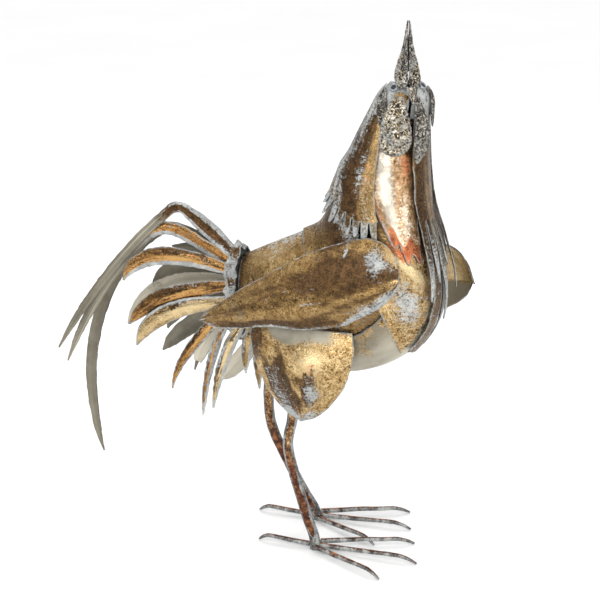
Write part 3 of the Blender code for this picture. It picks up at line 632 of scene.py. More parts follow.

# Rear back plate: the lighter spot across its middle is a painted highlight.
plate("back_plate_rear", GOLD_SLOT, OCHRE, 0, 0.0, lambda v: 3.4 - 1.4 * abs(v - 0.5), -72, 72, 46, 76,
      lambda r, v, q: {"brown": 0.26 + 0.45 * step(r, 0.25, 0.0) + 0.2 * step(v, 0.5, 0.1), "paint": 0.32
      - 0.2 * step(v, 0.55, 0.9) + 0.2 * brushed(r, v, 6),
                       "highlight_and_pale": 0.04 + 0.35 * spot(r, v, 0.5, 0.7, 0.4, 0.25) + 0.2 * brushed(r, v, 5)})
plate("back_plate_front", DARK_SLOT, OCHRE, 1, lambda v: 2.3 + 0.9 * abs(2 * v - 1), 7.0, -76, 76, 60, 80,
      lambda r, v, q: {"brown": 0.38 + 0.30 * step(r, 0.25, 0.6), "paint": 0.20 + 0.35 * step(r, 0.6, 0.85),
      "copper": 0.30 * spot(r, v, 0.4, 0.75, 0.25, 0.3)})
for side, sign in (("right", 1), ("left", -1)):
    plate(f"flank_plate_{side}", GREY_SLOT, OCHRE, -1, 0.2, 5.6, sign * 66, sign * 121, 70, 26,
          lambda r, v, q: {"brown": 0.45, "paint": 0.35}, lift=lambda r, v: -0.4 + 0 * r)
    # Breast plates: a painted highlight band across the middle, and more brown towards the wing side, part brown patina
    # and part painted shade under the wing.
    plate(f"breast_plate_{side}", COPPER_SLOT, YELLOW, 1, lambda v: 4.7 + 0.9 * (1 - v), 8.8, sign * 92, sign * 157, 60,
        42,
          lambda r, v, q: {"brown": 0.22 + 0.50 * step(v, 0.40, 0.0) + 0.50 * step(r, 0.72, 0.85)
          + 0.35 * spot(r, v, 0.50, 0.95, 0.25, 0.15),
                           "highlight_and_pale": 1.4 * spot(r, v, 0.58, 0.62, 0.05, 0.30), "paint": 0.24
                           + 0.40 * spot(r, v, 0.30, 0.62, 0.17, 0.30) + 0.25 * step(r, 0.8, 1.0),
                           "copper": 0.15 + 0.85 * spot(r, v, 0.66, 0.42, 0.05, 0.20)}, dent=1.1)
plate("belly_plate", GREY_SLOT, YELLOW, 0, 0.0, 8.2, 117, 243, 90, 64,
      lambda r, v, q: {"bare": 0.70 + 0.3 * step(v, 0.35, 0.6), "paint": 0.24 + 0.2 * brushed(r, v, 2), "brown": 0.12
      + 0.0 * r, "highlight_and_pale": 0.30 + 0.3 * brushed(r, v, 3)})

plate("breast_strip_inner", DARK_SLOT, DARK, 2, 4.9, 8.46, lambda r: 161 - 2 * r, lambda r: 175 - 3 * r, 60, 8,
      lambda r, v, q: {"brown": 0.55, "paint": 0.36 + 0.2 * step(v, 0.3, 0.0), "highlight_and_pale": 0.3}, ragged=0.6)
plate("breast_strip_outer", DARK_SLOT, DARK, 2, 5.2, 8.6, lambda r: 179 - 3 * r, lambda r: 192 - 3 * r, 60, 8,
      lambda r, v, q: {"brown": 0.60, "paint": 0.40 + 0.2 * step(v, 0.3, 0.0)}, ragged=0.6)
plate("breast_strip_far", GREY_SLOT, DARK, 2, 5.8, 8.5, lambda r: 196 - 3 * r, lambda r: 208 - 3 * r, 50, 8,
      lambda r, v, q: {"brown": 0.45, "paint": 0.55}, ragged=0.6)

THROAT_NEAR = ((0.0, 106), (0.2, 90), (0.42, 79), (0.65, 72), (1.0, 70))
THROAT_FAR = ((0.0, 146), (0.2, 150), (0.30, 154), (0.42, 156), (0.65, 152), (1.0, 148))
# Throat plate: a painted white highlight band runs down it with a second, smaller painted highlight; brown is thinned
# under the band.
plate("throat_plate", COPPER_SLOT, RED, 2, lambda v: 7.5 + 0.35 * abs(2 * v - 1.2) + 0.16 * np.cos(v * 17.0), 11.9,
      lambda r: profile(THROAT_NEAR, r), lambda r: profile(THROAT_FAR, r), 80, 44,
      lambda r, v, q: {"highlight_and_pale": 0.05 + 1.1 * spot(r, v, 0.45, 0.44 - 0.12 * r, 0.45, 0.14)
      + 0.5 * spot(r, v, 0.2, 0.72, 0.2, 0.08),
                       "brown": 0.26 + 0.30 * step(v, 0.22, 0.0) + 0.30 * spot(r, v, 0.30, 0.95, 0.45, 0.14)
                       - 0.25 * spot(r, v, 0.45, 0.42, 0.5, 0.2)
                       + 0.20 * brushed(r, v, 3, 2.0, 3.0), "paint": 0.06 + 0.25 * spot(r, v, 0.80, 0.15, 0.15, 0.2)
                       + 0.35 * step(r, 0.94, 1.0),
                       "copper": 0.22 + 0.85 * step(r, 0.14, 0.07) + 0.55 * spot(r, v, 0.80, 0.08, 0.2, 0.10)
                       + 0.60 * spot(r, v, 0.86, 0.62, 0.08, 0.2)
                       + 0.50 * spot(r, v, 0.58, 0.80, 0.16, 0.16) + 0.4 * spot(r, v, 0.2, 0.1, 0.12, 0.2)},
      ragged=0.7, dent=1.2)
plate("nape_plate", DARK_SLOT, DARK, 2, 6.9, 13.6, -62, 34, 70, 48,
      lambda r, v, q: {"brown": 0.52 + 0.30 * brushed(r, v, 4, 1.6, 6.0), "paint": 0.74
      + 0.30 * brushed(r, v, 14, 1.6, 7.0) + 0.12 * q},
      teeth=((1.0, 1.3, 0.9, 1.2), 2.5, 10), lift=lambda r, v: 3.0 * (1 - np.clip(r, 0, 1)) ** 4)
plate("hackle_plate_right", DARK_SLOT, OCHRE, 3, lambda v: 7.1 + 1.1 * v * v, 13.6, 22, lambda r: 98 - 16 * r, 72, 42,
      lambda r, v, q: {"brown": 0.76 + 0.50 * brushed(r, v, 5, 1.4, 3.4) - 0.36 * step(v, 0.5, 1.0),
      "highlight_and_pale": 0.6 * step(v, 0.55, 1.0),
                       "paint": 0.70 - 0.56 * step(v, 0.12, 0.55) + 0.50 * q + 0.30 * brushed(r, v, 6, 1.4, 4.0)
                       + 0.25 * step(r, 0.75, 0.95),
                       "copper": 0.10 + 0.20 * spot(r, v, 0.30, 0.75, 0.25, 0.25) + 0.2 * brushed(r, v, 8, 1.6, 4.0)},
      teeth=((1.0, 0.8, 1.1, 0.9), 2.0, 8), lift=lambda r, v: 2.5 * (1 - v) * (1 - np.clip(r, 0, 1)) ** 4)
plate("throat_side_plate", GOLD_SLOT, DARK, 3, 8.7, 11.9, lambda r: 150 - 10 * r, lambda r: 196 - 4 * r, 50, 24,
      lambda r, v, q: {"brown": 0.66 + 0.30 * brushed(r, v, 7, 1.6, 4.0), "paint": 0.22 + 0.55 * q, "highlight_and_pale": 0.35},
      teeth=((1.9, 1.5, 2.2, 1.2), 2.2, 4))
plate("hackle_plate_left", DARK_SLOT, DARK, 3, 8.1, 13.6, 201, 304, 60, 48,
      lambda r, v, q: {"brown": 0.60 + 0.15 * line_noise(v * 9, 1.0, 8), "paint": 0.36 + 0.5 * q},
      teeth=((1.3, 1.0, 1.2), 3.0, 8), lift=lambda r, v: 5.0 * (1 - np.clip(r, 0, 1)) ** 4)


def leaf(node, slot, front, t, point, side, normal, below, above, bow, columns, fields, thickness=SHEET, dent=0.5,
         crust=0.0, crease=2.0, ragged=1.0, back=None, seed=11):
    """A bowed blade lofted along t; its half widths below and above the line may differ."""
    rows = len(t) - 1
    _, c, faces = grid(rows, columns)
    u = 2.0 * c - 1.0
    tt = np.repeat(t, columns + 1)

    def spread(values, *shape):
        """Values along t repeated for each column."""
        return np.repeat(np.broadcast_to(values, (len(t), *shape)), columns + 1, axis=0)

    lengths = np.concatenate([[0.0], np.cumsum(np.linalg.norm(np.diff(point, axis=0), axis=1))]) * 1000.0
    nick_low = ragged * (0.45 * line_noise(lengths, 5.0, seed) + 0.25 * line_noise(lengths, 2.0, seed + 1))
    nick_high = ragged * (0.45 * line_noise(lengths, 5.5, seed + 2) + 0.25 * line_noise(lengths, 2.2, seed + 3))
    fade = np.minimum(1.0, np.minimum(below, above) / (4.0 * U))
    wide = np.where(u > 0, spread(above + nick_high * fade * U), spread(below + nick_low * fade * U))
    outward = spread(normal, 3)
    points = (spread(point, 3) + spread(side, 3) * (u * wide)[:, None]
              + outward * (spread(bow) * (1.0 - np.abs(u) ** crease))[:, None])
    metal(node, slot, points, faces, outward, front, fields(tt, u), thickness, dent, crust, back)


# Head.
HEAD_TURN = -53.0
FACE = compass(HEAD_TURN)
FACE_LEFT = left_of(FACE)
UP = np.array((0.0, 0.0, 1.0))
FACE_PHI = 180.0 + HEAD_TURN
HEAD_AXIS = at(96, 0, 0)


def head_point(forward, left, z):
    forward, left, z = np.broadcast_arrays(forward, left, z)
    return HEAD_AXIS + (FACE * forward[..., None] + FACE_LEFT * left[..., None] + UP * z[..., None]) * U


plate("cheek_plate_right", GREY_SLOT, OCHRE, 4, 11.9, 13.9, FACE_PHI - 68, FACE_PHI - 3, 34, 34,
      lambda r, v, q: {"paint": 0.95 - 0.95 * spot(r, v, 0.50, 0.72, 0.15, 0.3), "brown": 0.35, "highlight_and_pale": 0.3,
      "copper": 0.35}, ragged=0.5)
plate("cheek_plate_left", GREY_SLOT, OCHRE, 4, 11.9, 13.9, FACE_PHI + 3, FACE_PHI + 70, 34, 34,
      lambda r, v, q: {"paint": 0.75, "brown": 0.45}, ragged=0.5)

COMB_TURN = -65.0
COMB_LENGTH = 50.0
COMB_TOP = ((0.0, 546), (0.06, 560), (0.13, 580), (0.22, 600), (0.36, 573), (0.46, 583), (0.58, 558), (0.70, 567),
    (0.84, 548), (1.0, 552))
COMB_LOW = ((0.0, 536), (0.07, 531.2), (0.13, 532.8), (0.25, 540.5), (0.5, 543), (0.75, 543), (1.0, 540))
COMB_FLARE = ((528, 14.0), (541, 13.5), (557, 11.5), (567, 8.5), (577, 6.5), (593, 4.0), (600, 2.0))
comb_run = compass(COMB_TURN)
comb_left = left_of(comb_run)
top_t, top_z = np.array(COMB_TOP, float).T
for side, sign in (("right", -1), ("left", 1)):
    t, share, faces = grid(72, 44)
    top = np.interp(t, top_t, top_z)
    low = profile(COMB_LOW, t) + 0.35 * line_noise(t * 60, 1.0, 31)
    top = top + 0.9 * line_noise(t * 60, 1.3, 33 + sign) * step(t, 0.0, 0.03)
    bulge = np.sin(np.minimum(1.0, t * 3.8) * pi / 2) * (1.0 - 0.3 * t) * step(t, 1.0, 0.8)
    z = top + (low - top) * share
    out = sign * (SHEET / 2 + SEAT_GAP / 6 + profile(COMB_FLARE, z) * bulge * share**0.45 * U)
    points = HEAD_AXIS + UP * (z * U)[:, None] + comb_run * ((29.5 - COMB_LENGTH * t) * U)[:,
        None] + comb_left * (3.8 * U + out)[:, None]
    metal(f"comb_{side}", PIT_SLOT, points, faces, comb_left * sign, CRUST,
          {"paint": 0.42 + 0.25 * step(share, 0.55, 0.2) - 0.22 * step(share, 0.6, 0.9), "brown": 0.10 + 0.0 * t},
          SHEET, 0.25, 0.8, back=CRUST)

# Beak: a folded wedge, its two facets drawn from the same nine points.
beak_points = np.array([head_point(*p) for p in (
    (28.0, -5.0, 532.5), (34.0, 1.0, 535.0), (28.0, 8.0, 532.5), (34.5, -2.8, 525.5), (39.0, 0.6, 527.0),
    (34.5, 4.6, 525.5),
    (40.5, -1.0, 518.5), (42.5, 0.0, 518.0), (40.5, 1.0, 518.5))]).reshape(3, 3, 3)
r, c, faces = grid(20, 20)
rows, cols = r * 2, c * 2
i, j = np.minimum(rows.astype(int), 1), np.minimum(cols.astype(int), 1)
f, g = (rows - i)[:, None], (cols - j)[:, None]
points = ((beak_points[i, j] * (1 - g) + beak_points[i, j + 1] * g) * (1 - f)
    + (beak_points[i + 1, j] * (1 - g) + beak_points[i + 1, j + 1] * g) * f)
metal("beak", PIT_SLOT, points, faces, FACE, CRUST, {"paint": 0.15 + 0.2 * step(c, 0.3, 0.0), "brown": 0.05
    + 0.15 * step(c, 0.45, 0.6)},
      SHEET, 0.2, 0.3, smooth=25.0)

# Eyes: a ring round a dark dome.
EYE_STATION = 13.4
EYE_RADII = np.array([4.6, 4.6, 4.35, 3.9, 3.3, 2.9, 2.65, 2.5, 2.2, 1.5, 0.8, 0.25])
EYE_RISE = np.array([0.2, 1.6, 2.3, 2.6, 2.5, 2.0, 1.5, 1.6, 2.0, 2.35, 2.5, 2.52])
EYE_SIDES = 40
rings, turn = len(EYE_RADII), EYE_SIDES
angle = np.linspace(0, 2 * pi, turn, endpoint=False)[:, None]
for side, sign in (("right", -1), ("left", 1)):
    phi = FACE_PHI + sign * 42
    out = trunk_out(EYE_STATION, phi)
    centre = on_trunk(EYE_STATION, phi, 4 * PITCH + SHEET / 2 + SEAT_GAP)
    a = unit(np.cross(out, UP))
    b = np.cross(out, a)
    points = np.concatenate([centre + out * (rise * U) + (np.cos(angle) * a + np.sin(angle) * b) * (radius * U)
                             for radius, rise in zip(EYE_RADII, EYE_RISE)])
    faces = ring_faces(rings, turn)
    faces.append(tuple((rings - 1) * turn + i for i in range(turn)))
    faces.append(tuple(reversed(range(turn))))
    mesh = bpy.data.meshes.new(f"eye_{side}_form")
    mesh.from_pydata((points + SHIFT).tolist(), [], faces)
    set_field(mesh, "rim", np.repeat(np.maximum(0, 3.0 - EYE_RADII) * 1.4, turn))
    mesh.materials.append(EYE)
    if sum(p.normal.dot(Vector(out)) * p.area for p in mesh.polygons[: (rings - 1) * turn + 1]) < 0:
        mesh.flip_normals()
    show(mesh, f"eye_{side}", EYE_SLOT)

for side, sign, top_spread, low_spread in (("right", -1, 64, 40), ("left", 1, 59, 54)):
    t = np.linspace(0, 1, 37)
    s = 13.3 - 1.9 * t
    phi = FACE_PHI + sign * (top_spread + (low_spread - top_spread) * t)
    out = trunk_out(s, phi)
    across = unit(np.cross(UP, out))
    wide = (0.6 + 5.6 * np.sin(pi * t) ** 0.8) * U
    leaf(f"ear_lobe_{side}", PIT_SLOT, CRUST, t, on_trunk(s, phi, 5 * PITCH + 0.8 * U + 0 * t), across, out, wide, wide,
         -1.2 * U * np.sin(pi * t), 12, lambda t, u: {"paint": 0.22 + 0.0 * t, "brown": 0.22}, crust=0.5, ragged=0.5,
         dent=0.2)

WATTLES = (
    ("right", -1, 30, -76.0, 523, 463, ((0.0, 6), (0.25, 3.5), (0.5, 1.2), (0.75, 1.2), (0.87, 4.2), (0.95, 9.5),
    (1.0, 18)),
     ((0.0, 17), (0.25, 27), (0.5, 33), (0.75, 34.5), (0.87, 33), (0.95, 29.5), (1.0, 23))),
    ("left", 1, 34.5, -22.0, 523, 455, ((0.0, 5), (0.25, 2.5), (0.5, 1.2), (0.75, 1.2), (0.9, 3.5), (1.0, 7)),
     ((0.0, 11), (0.25, 19), (0.5, 24), (0.75, 22), (0.9, 17), (1.0, 9))),
)
for side, sign, forward, turn, top, low, near, far in WATTLES:
    out = compass(turn)
    across = left_of(out) * sign
    t = np.linspace(0, 1, 73)
    inner, outer = profile(near, t), profile(far, t)
    point = (head_point(forward + (43 - forward) * np.minimum(1.0, 2.2 * t), -0.8, top + (low - top) * t)
             + across * ((inner + outer) / 2 * U)[:, None] + out * (2.5 * np.sin(pi * t) * U)[:, None])
    half = (outer - inner) / 2 * U
    leaf(f"wattle_{side}", PIT_SLOT, CRUST, t, point, across, out, half, half,
        3.0 * U * np.sin(pi * np.minimum(1.0, t + 0.1)), 44,
         lambda t, u: {"paint": (0.24 if sign < 0 else 0.56) + 0.55 * spot(t, u, 0.55, 0.35, 0.25, 0.14)
         + 0.2 * step(np.abs(u), 0.8, 1.0), "brown": 0.0 if sign < 0 else 0.12}, crust=0.7, ragged=0.6, dent=0.35)

# Wings.
WING_ABOVE = ((0.0, 0.6), (0.03, 7), (0.18, 19.5), (0.345, 31.5), (0.51, 43), (0.64, 49), (0.77, 52), (0.865, 52),
              (0.92, 50), (0.968, 41), (0.992, 29), (1.0, 22))
WING_BELOW = ((0.0, 0.6), (0.065, 11), (0.19, 17), (0.34, 20), (0.5, 30.5), (0.64, 33.5), (0.71, 33), (0.79, 29.5),
              (0.885, 22.5), (0.95, 13), (0.985, 2), (1.0, -4))


def wing_fields(t, u):
    streak = brushed(t, u, 8, 4.0, 2.5)
    scratch = spot(t, u - 0.28 - 0.5 * (t - 0.41), 0.41, 0.0, 0.09, 0.035) + spot(t, u + 0.10 + 0.4 * (t - 0.5), 0.62,
        0.0, 0.09, 0.025)
    return {
        "brown": 0.42 + 0.38 * spot(t, u, 0.74, 0.48, 0.22, 0.55) + 0.30 * streak + 0.25 * step(u, -0.35, -0.85),
        "paint": 0.08 + 0.56 * spot(t, u, 0.925, 0.50, 0.038, 0.42) + 0.62 * spot(t, u, 0.83, -0.76, 0.10, 0.22)
        + 0.30 * step(t, 0.14, 0.02)
        + 0.50 * step(u, -0.80, -0.96) + 0.7 * spot(t - 0.06 * (u - 0.8), u, 0.80, 0.86, 0.010, 0.22) + 0.55 * scratch
        + 0.55 * spot(t, u, 0.945, -0.75, 0.05, 0.25) + 0.17 * brushed(t, u, 9, 5.0, 4.0),
        # Painted highlight along the front rim; a lighter spot low in the middle.
        "highlight_and_pale": 0.9 * step(t, 0.950, 0.975) + 0.4 * spot(t, u, 0.75, -0.5, 0.15, 0.3),
    }


def inner_wing_fields(t, u):
    streak = brushed(t, u, 12, 4.0, 2.5)
    # The far wing's inner face is lightened all over, as painted light against the body's shadow, and has a painted
    # highlight near its front rim.
    return {"brown": 0.08 + 0.30 * streak, "highlight_and_pale": 0.42 + 0.9 * spot(t, u, 0.93, 0.45, 0.05, 0.4), "paint": 0.06
        + 0.4 * spot(t, u, 0.80, 0.0, 0.06, 0.3),
            "copper": 0.22 + 0.3 * streak, "bare": 0.75 * step(u, 0.25, -0.45) + 0.2 * streak}


def wing(side, rear, front, sign):
    axis = unit(front - rear)
    out = np.array((0.0, sign, 0.0))
    out = unit(out - axis * (out @ axis))
    rise = np.cross(axis, out) * sign
    roll = radians(10.0)
    rise, out = rise * cos(roll) - out * sin(roll), out * cos(roll) + rise * sin(roll)
    t = np.concatenate([np.linspace(0, 0.9, 78, endpoint=False), np.linspace(0.9, 1.0, 26)])
    tip = np.maximum(0.0, t - 0.86) / 0.14
    shoulder = rear + (front - rear) * WING_SHOULDER
    point = shoulder + axis * (WING_LENGTH * (t - WING_SHOULDER))[:, None] - out * (tip**2 * 7.0 * U)[:, None]
    cup = (3.0 + 15.0 * np.sin(pi / 2 * np.minimum(1.0, t / 0.7)) - 15.0 * tip**2) * U
    leaf(f"wing_{side}", GOLD_SLOT, OCHRE, t, point, rise, out, profile(WING_BELOW, t) * U, profile(WING_ABOVE, t) * U,
        cup, 64,
         wing_fields if sign < 0 else inner_wing_fields, dent=1.3, crease=1.7, back=BACK if sign < 0 else YELLOW,
         seed=21)


wing("right", at(-113, -60, 263), at(123.5, -75.1, 339.5), -1)
wing("left", at(-86, 60.7, 243), at(155.6, 81.9, 299.5), 1)

# Thighs.
THIGH_HALF = ((0.0, 59), (0.2, 61), (0.5, 53.5), (0.69, 43), (0.83, 31), (0.93, 19), (0.975, 11), (1.0, 3))


def thigh_fields(t, u):
    rough = brushed(t - 0.5 * u, u, 18, 2.0, 3.0)
    return {
        "brown": 0.24 + 0.38 * spot(t, u + 0.20 - 0.3 * (t - 0.5), 0.56, 0.0, 0.28, 0.36)
        + 0.50 * spot(t, u, 0.14, -0.85, 0.14, 0.22) + 0.55 * rough,
        "bare": 0.90 * step(t + 0.07 * u * u + 0.03 * rough, 0.24, 0.06) * step(u, -0.8, -0.5) * step(u, 0.95, 0.40),
        "paint": 0.12 + 0.45 * step(t + 0.07 * u * u, 0.24, 0.06) * step(u, -0.8, -0.5) * step(u, 0.95, 0.40)
        + 0.25 * rough + 0.70 * step(t + 0.12 * np.abs(u), 0.86, 1.02) + 0.55 * spot(t, u, 0.68, 0.48, 0.14, 0.22)
        + 0.45 * spot(t, u, 0.30, 0.05, 0.07, 0.16),
        # Painted glints: a white one right of the middle and, from the copper spot below it, an orange one; the top
        # band is made paler.
        "highlight_and_pale": 0.10 + 0.80 * spot(t, u, 0.32, 0.32, 0.13, 0.20) + 0.25 * step(t, 0.2, 0.08)
        + 0.2 * brushed(t, u, 4, 3.0, 2.0),
        "copper": 0.14 + 0.42 * spot(t, u, 0.38, 0.28, 0.13, 0.13),
    }


def thigh(side, x, top, stand, sign):
    t = np.concatenate([np.linspace(0, 0.85, 52, endpoint=False), np.linspace(0.85, 1.0, 20)])
    wide = profile(THIGH_HALF, t) * U
    depth = (8.0 + 12.0 * np.sin(pi * np.minimum(1.0, 1.1 * t)) - 3.5 * t) * U
    out = stand - (stand - 46.3) * t
    point = np.stack([(x + 2 * (1 - t)) * U, sign * out * U, top * U - THIGH_HEIGHT * t], axis=1)
    leaf(f"thigh_{side}", GOLD_SLOT, YELLOW, t, point, np.array((1.0, 0.0, 0.0)), np.array((0.0, sign, 0.0)), wide,
        wide, depth, 64,
         thigh_fields, dent=1.4, crease=1.5, seed=41)


thigh("right", 3, 270, 52.1, -1)
thigh("left", -47, 260, 49.6, 1)


def rod(node, centres, radii, sides, paint):
    """A hammered round bar along a line of points."""
    centres, radii = np.array(centres), np.array(radii)
    tangents = unit(np.gradient(centres, axis=0))
    side = unit(np.cross(tangents[0], (0.31, 0.95, 0.05)))
    rings = []
    angle = np.linspace(0, 2 * pi, sides, endpoint=False)
    for centre, radius, tangent in zip(centres, radii, tangents):
        side = unit(side - tangent * (side @ tangent))
        other = np.cross(tangent, side)
        rings.append(centre + (np.cos(angle)[:, None] * side + np.sin(angle)[:, None] * other) * radius)
    points = np.concatenate(rings)
    out = unit(points - np.repeat(centres, sides, axis=0))
    seed = sum(ord(c) for c in node)
    grow = 0.28 * wobble(points, 0.010, seed) + 0.12 * wobble(points, 0.004, seed + 1)
    flat = (np.repeat(centres[:, 2], sides) > 0.0008).astype(float)
    points = points + out * (grow * flat * U * np.repeat(np.minimum(1.0, radii / LEG_RADIUS), sides))[:, None]
    points[:, 2] = np.maximum(points[:, 2], 0.0)
    n = len(centres)
    faces = ring_faces(n, sides)
    faces += [tuple(reversed(range(sides))), tuple((n - 1) * sides + i for i in range(sides))]
    mesh = bpy.data.meshes.new(node + "_bar")
    mesh.from_pydata((points + SHIFT).tolist(), [], faces)
    for name, value in (("paint", paint(points, out)), ("brown", step(points[:, 2], 0.135, 0.095))):
        set_field(mesh, name, value)
    mesh.materials.append(BAR)
    normals = np.zeros(len(points) * 3)
    mesh.vertices.foreach_get("normal", normals)
    if (normals.reshape(-1, 3) * out).sum() < 0:
        mesh.flip_normals()
    show(mesh, node, ROD_SLOT)


SCREEN_RIGHT = np.array((0.913, 0.407, 0.0))
LEG_LINES = {
    "right": ((-6, -39.5, 226.4), (-9, -40, 188), (-12, -40, 153), (-17, -40, 124), (-11, -39, 92), (1, -37, 50),
    (13, -36, 16)),
    "left": ((-62.8, 26.6, 231.7), (-71, 30, 183), (-74, 31, 146), (-70, 31, 112), (-55, 33, 78), (-36, 35, 42),
    (-19, 37, 14)),
}
for side, corners in LEG_LINES.items():
    t = np.linspace(0, len(corners) - 1, 88)
    line = np.stack([blend([corner[k] for corner in corners], t) for k in range(3)], axis=1) * U
    foot = at(*FEET[side])
    line = np.concatenate([line, [foot + UP * 0.0070, foot + UP * 0.0035, foot]])
    radii = np.full(len(line), LEG_RADIUS)
    radii[-3:] *= 1.04
    rod(f"leg_{side}", line, radii, 24, lambda p, out: 0.06 + 0.64 * step(out @ SCREEN_RIGHT, 0.15, 0.60)
        + 0.66 * step(out @ SCREEN_RIGHT, -0.42, -0.76)
        + 0.25 * step(p[:, 2], 0.16, 0.2) + 0.6 * step(p[:, 2], 0.030, 0.010))

TOES = {
    "right": (("outer", 29.0, 113.0, 4.4), ("middle", 4.0, 119.0, 0.0), ("inner", -25.0, 104.0, -4.4),
    ("back", 185.0, 68.0, 0.0)),
    "left": (("outer", 31.0, 112.0, 4.4), ("middle", 7.5, 114.0, 0.0), ("inner", -24.5, 98.0, -4.4),
    ("back", 186.0, 70.0, 0.0)),
}
for side, toes in TOES.items():
    foot = at(*FEET[side])
    for toe, heading, length, beside in toes:
        aim = compass(heading)
        across = left_of(aim)
        tip = foot + aim * length * U
        clear = 1.04 * LEG_RADIUS + SEAT_GAP
        start = foot + across * beside * U + aim * sqrt(clear**2 - max(0.0, abs(beside) * U - TOE_RADIUS) ** 2)
        if toe == "back":
            start = start + aim * 0.0004
        height = 0.0066 if toe == "outer" else 0.0048
        knots = np.array(((0.0, height, 1.0), (0.2, height + 0.0004, 0.95), (0.45, height + 0.0012, 0.88),
            (0.68, 0.0070, 0.82),
                          (0.82, 0.0073, 0.78), (0.91, 0.0052, 0.66), (0.97, 0.0026, 0.5)))
        share = np.concatenate([np.linspace(0, 0.97, 44), [1.0]])
        rise = np.interp(share, np.append(knots[:, 0], 1.0), np.append(knots[:, 1], CLAW_RADIUS))
        radius = np.interp(share, np.append(knots[:, 0], 1.0), np.append(knots[:, 2] * TOE_RADIUS, CLAW_RADIUS))
        smooth_rise = rise.copy()
        smooth_rise[1:-1] = (rise[:-2] + 2 * rise[1:-1] + rise[2:]) / 4
        line = start + (tip - start) * share[:, None] + UP * smooth_rise[:, None]
        rod(f"toe_{side}_{toe}", line, radius, 16, lambda p, out: 0.80 - 0.50 * step(out[:, 2], 0.55, 0.90)
            - 0.12 * step(out @ SCREEN_RIGHT, -0.2, -0.8))

# Tail.
TAIL_X = -100.0


def feather(node, slot, front, fields, root, yaw, pitch, curl, power, length, widths, steps=9, bow=3.0,
        kink=(0.0, 0.3, 0.1)):
    """A blade from its root: pitched up, curling down, and bent once by kink (degrees, where, over what share)."""
    away = np.array((-cos(yaw), -sin(yaw), 0.0))
    out = np.array((sin(yaw), -cos(yaw), 0.0)) * (1.0 if root[1] < 0 else -1.0)
    bend, bend_at, bend_over = kink
    fine = 5 * steps
    t = np.arange(fine + 1) / fine
    f = np.clip((t - bend_at) / bend_over + 0.5, 0.0, 1.0)
    angle = np.radians(pitch - bend * f * f * (3 - 2 * f) - curl * t**power)
    run = away * np.cos(angle)[:, None] + UP * np.sin(angle)[:, None]
    point = root + np.concatenate([[np.zeros(3)], np.cumsum(run[:-1], axis=0)]) * (length * U / fine)
    side = UP * np.cos(angle)[:, None] - away * np.sin(angle)[:, None]
    side[0] = UP
    wide = profile(widths, t) * U
    bowed = bow * U * np.minimum(1.0, 4.0 * t) * np.minimum(1.0, wide / (6.0 * U))
    seed = 50 + sum(ord(c) for c in node) % 40
    leaf(node, slot, front, t, point, side, out, wide, wide, bowed, 16, fields, FEATHER_SHEET, crease=1.5, seed=seed)


def fan(node, slot, front, fields, place, z, *shape):
    """A blade that stands on the tail plate, this many places to the bird's right."""
    root = np.array((TAIL_X * U - SHEET / 2 - SEAT_GAP - 0.0003, -place * FAN_PITCH, z * U))
    feather(node, slot, front, fields, root, radians(place * FAN_ANGLE), *shape)


BROAD = ((0.0, 6.0), (0.25, 8.5), (0.6, 10.5), (0.85, 7.5), (1.0, 1.0))
SPIKE = ((0.0, 5.0), (0.3, 6.5), (0.6, 5.5), (0.85, 3.0), (1.0, 0.8))
THIN = ((0.0, 4.0), (0.3, 5.0), (0.6, 4.2), (0.85, 2.8), (1.0, 0.8))
BLUNT = ((0.0, 6.0), (0.3, 8.0), (0.7, 9.5), (0.9, 8.5), (1.0, 4.5))
TOP_SICKLE = ((0.0, 7.5), (0.12, 10.0), (0.25, 6.0), (0.45, 5.5), (0.7, 5.0), (0.88, 3.6), (1.0, 0.8))
SECOND_SICKLE = ((0.0, 7.0), (0.2, 8.0), (0.4, 6.5), (0.7, 5.5), (0.88, 4.0), (1.0, 0.8))
LONG_SICKLE = ((0.0, 6.0), (0.3, 6.0), (0.5, 7.2), (0.75, 7.5), (0.92, 5.0), (1.0, 0.8))
SHORT_SICKLE = ((0.0, 5.0), (0.4, 5.5), (0.8, 4.0), (1.0, 0.8))


def banded(brown, paint, highlight_and_pale=0.0, copper=0.1, low_band=0.9, high_band=0.5, low_from=-0.25):
    """Leaf colour down the middle, pale paint towards both edges, all in streaks along the blade, with a painted
    highlight a third of the way out.
    """
    def fields(t, u):
        streak = brushed(t, u, 7, 3.0, 2.0)
        edge = 0.15 + np.abs(u)
        return {"brown": brown + 0.04 + 0.42 * brushed(t, u, 3, 3.0, 2.0), "highlight_and_pale": highlight_and_pale + 0.15
            + 0.5 * spot(t, u, 0.35, 0.1, 0.22, 0.4) + 0.25 * streak, "copper": copper + 0.25 * streak,
                "paint": paint - 0.04 + 0.9 * low_band * step(u + 0.25 * streak, low_from + 0.05, low_from - 0.60)
                + high_band * step(u - 0.1 * streak, 0.55, 1.0)
                + 0.4 * step(t, 0.85, 1.0) + 0.30 * streak * edge}
    return fields


def smooth_blade(bare, paint=0.0, brown=0.05, pale=0.0):
    """Plain weathered sheet without leaf."""
    return lambda t, u: {"bare": bare + 0.0 * t, "paint": paint + 0.2 * brushed(t, u, 5), "brown": brown + 0.0 * t,
        "highlight_and_pale": pale + 0.12 * brushed(t, u, 6)}


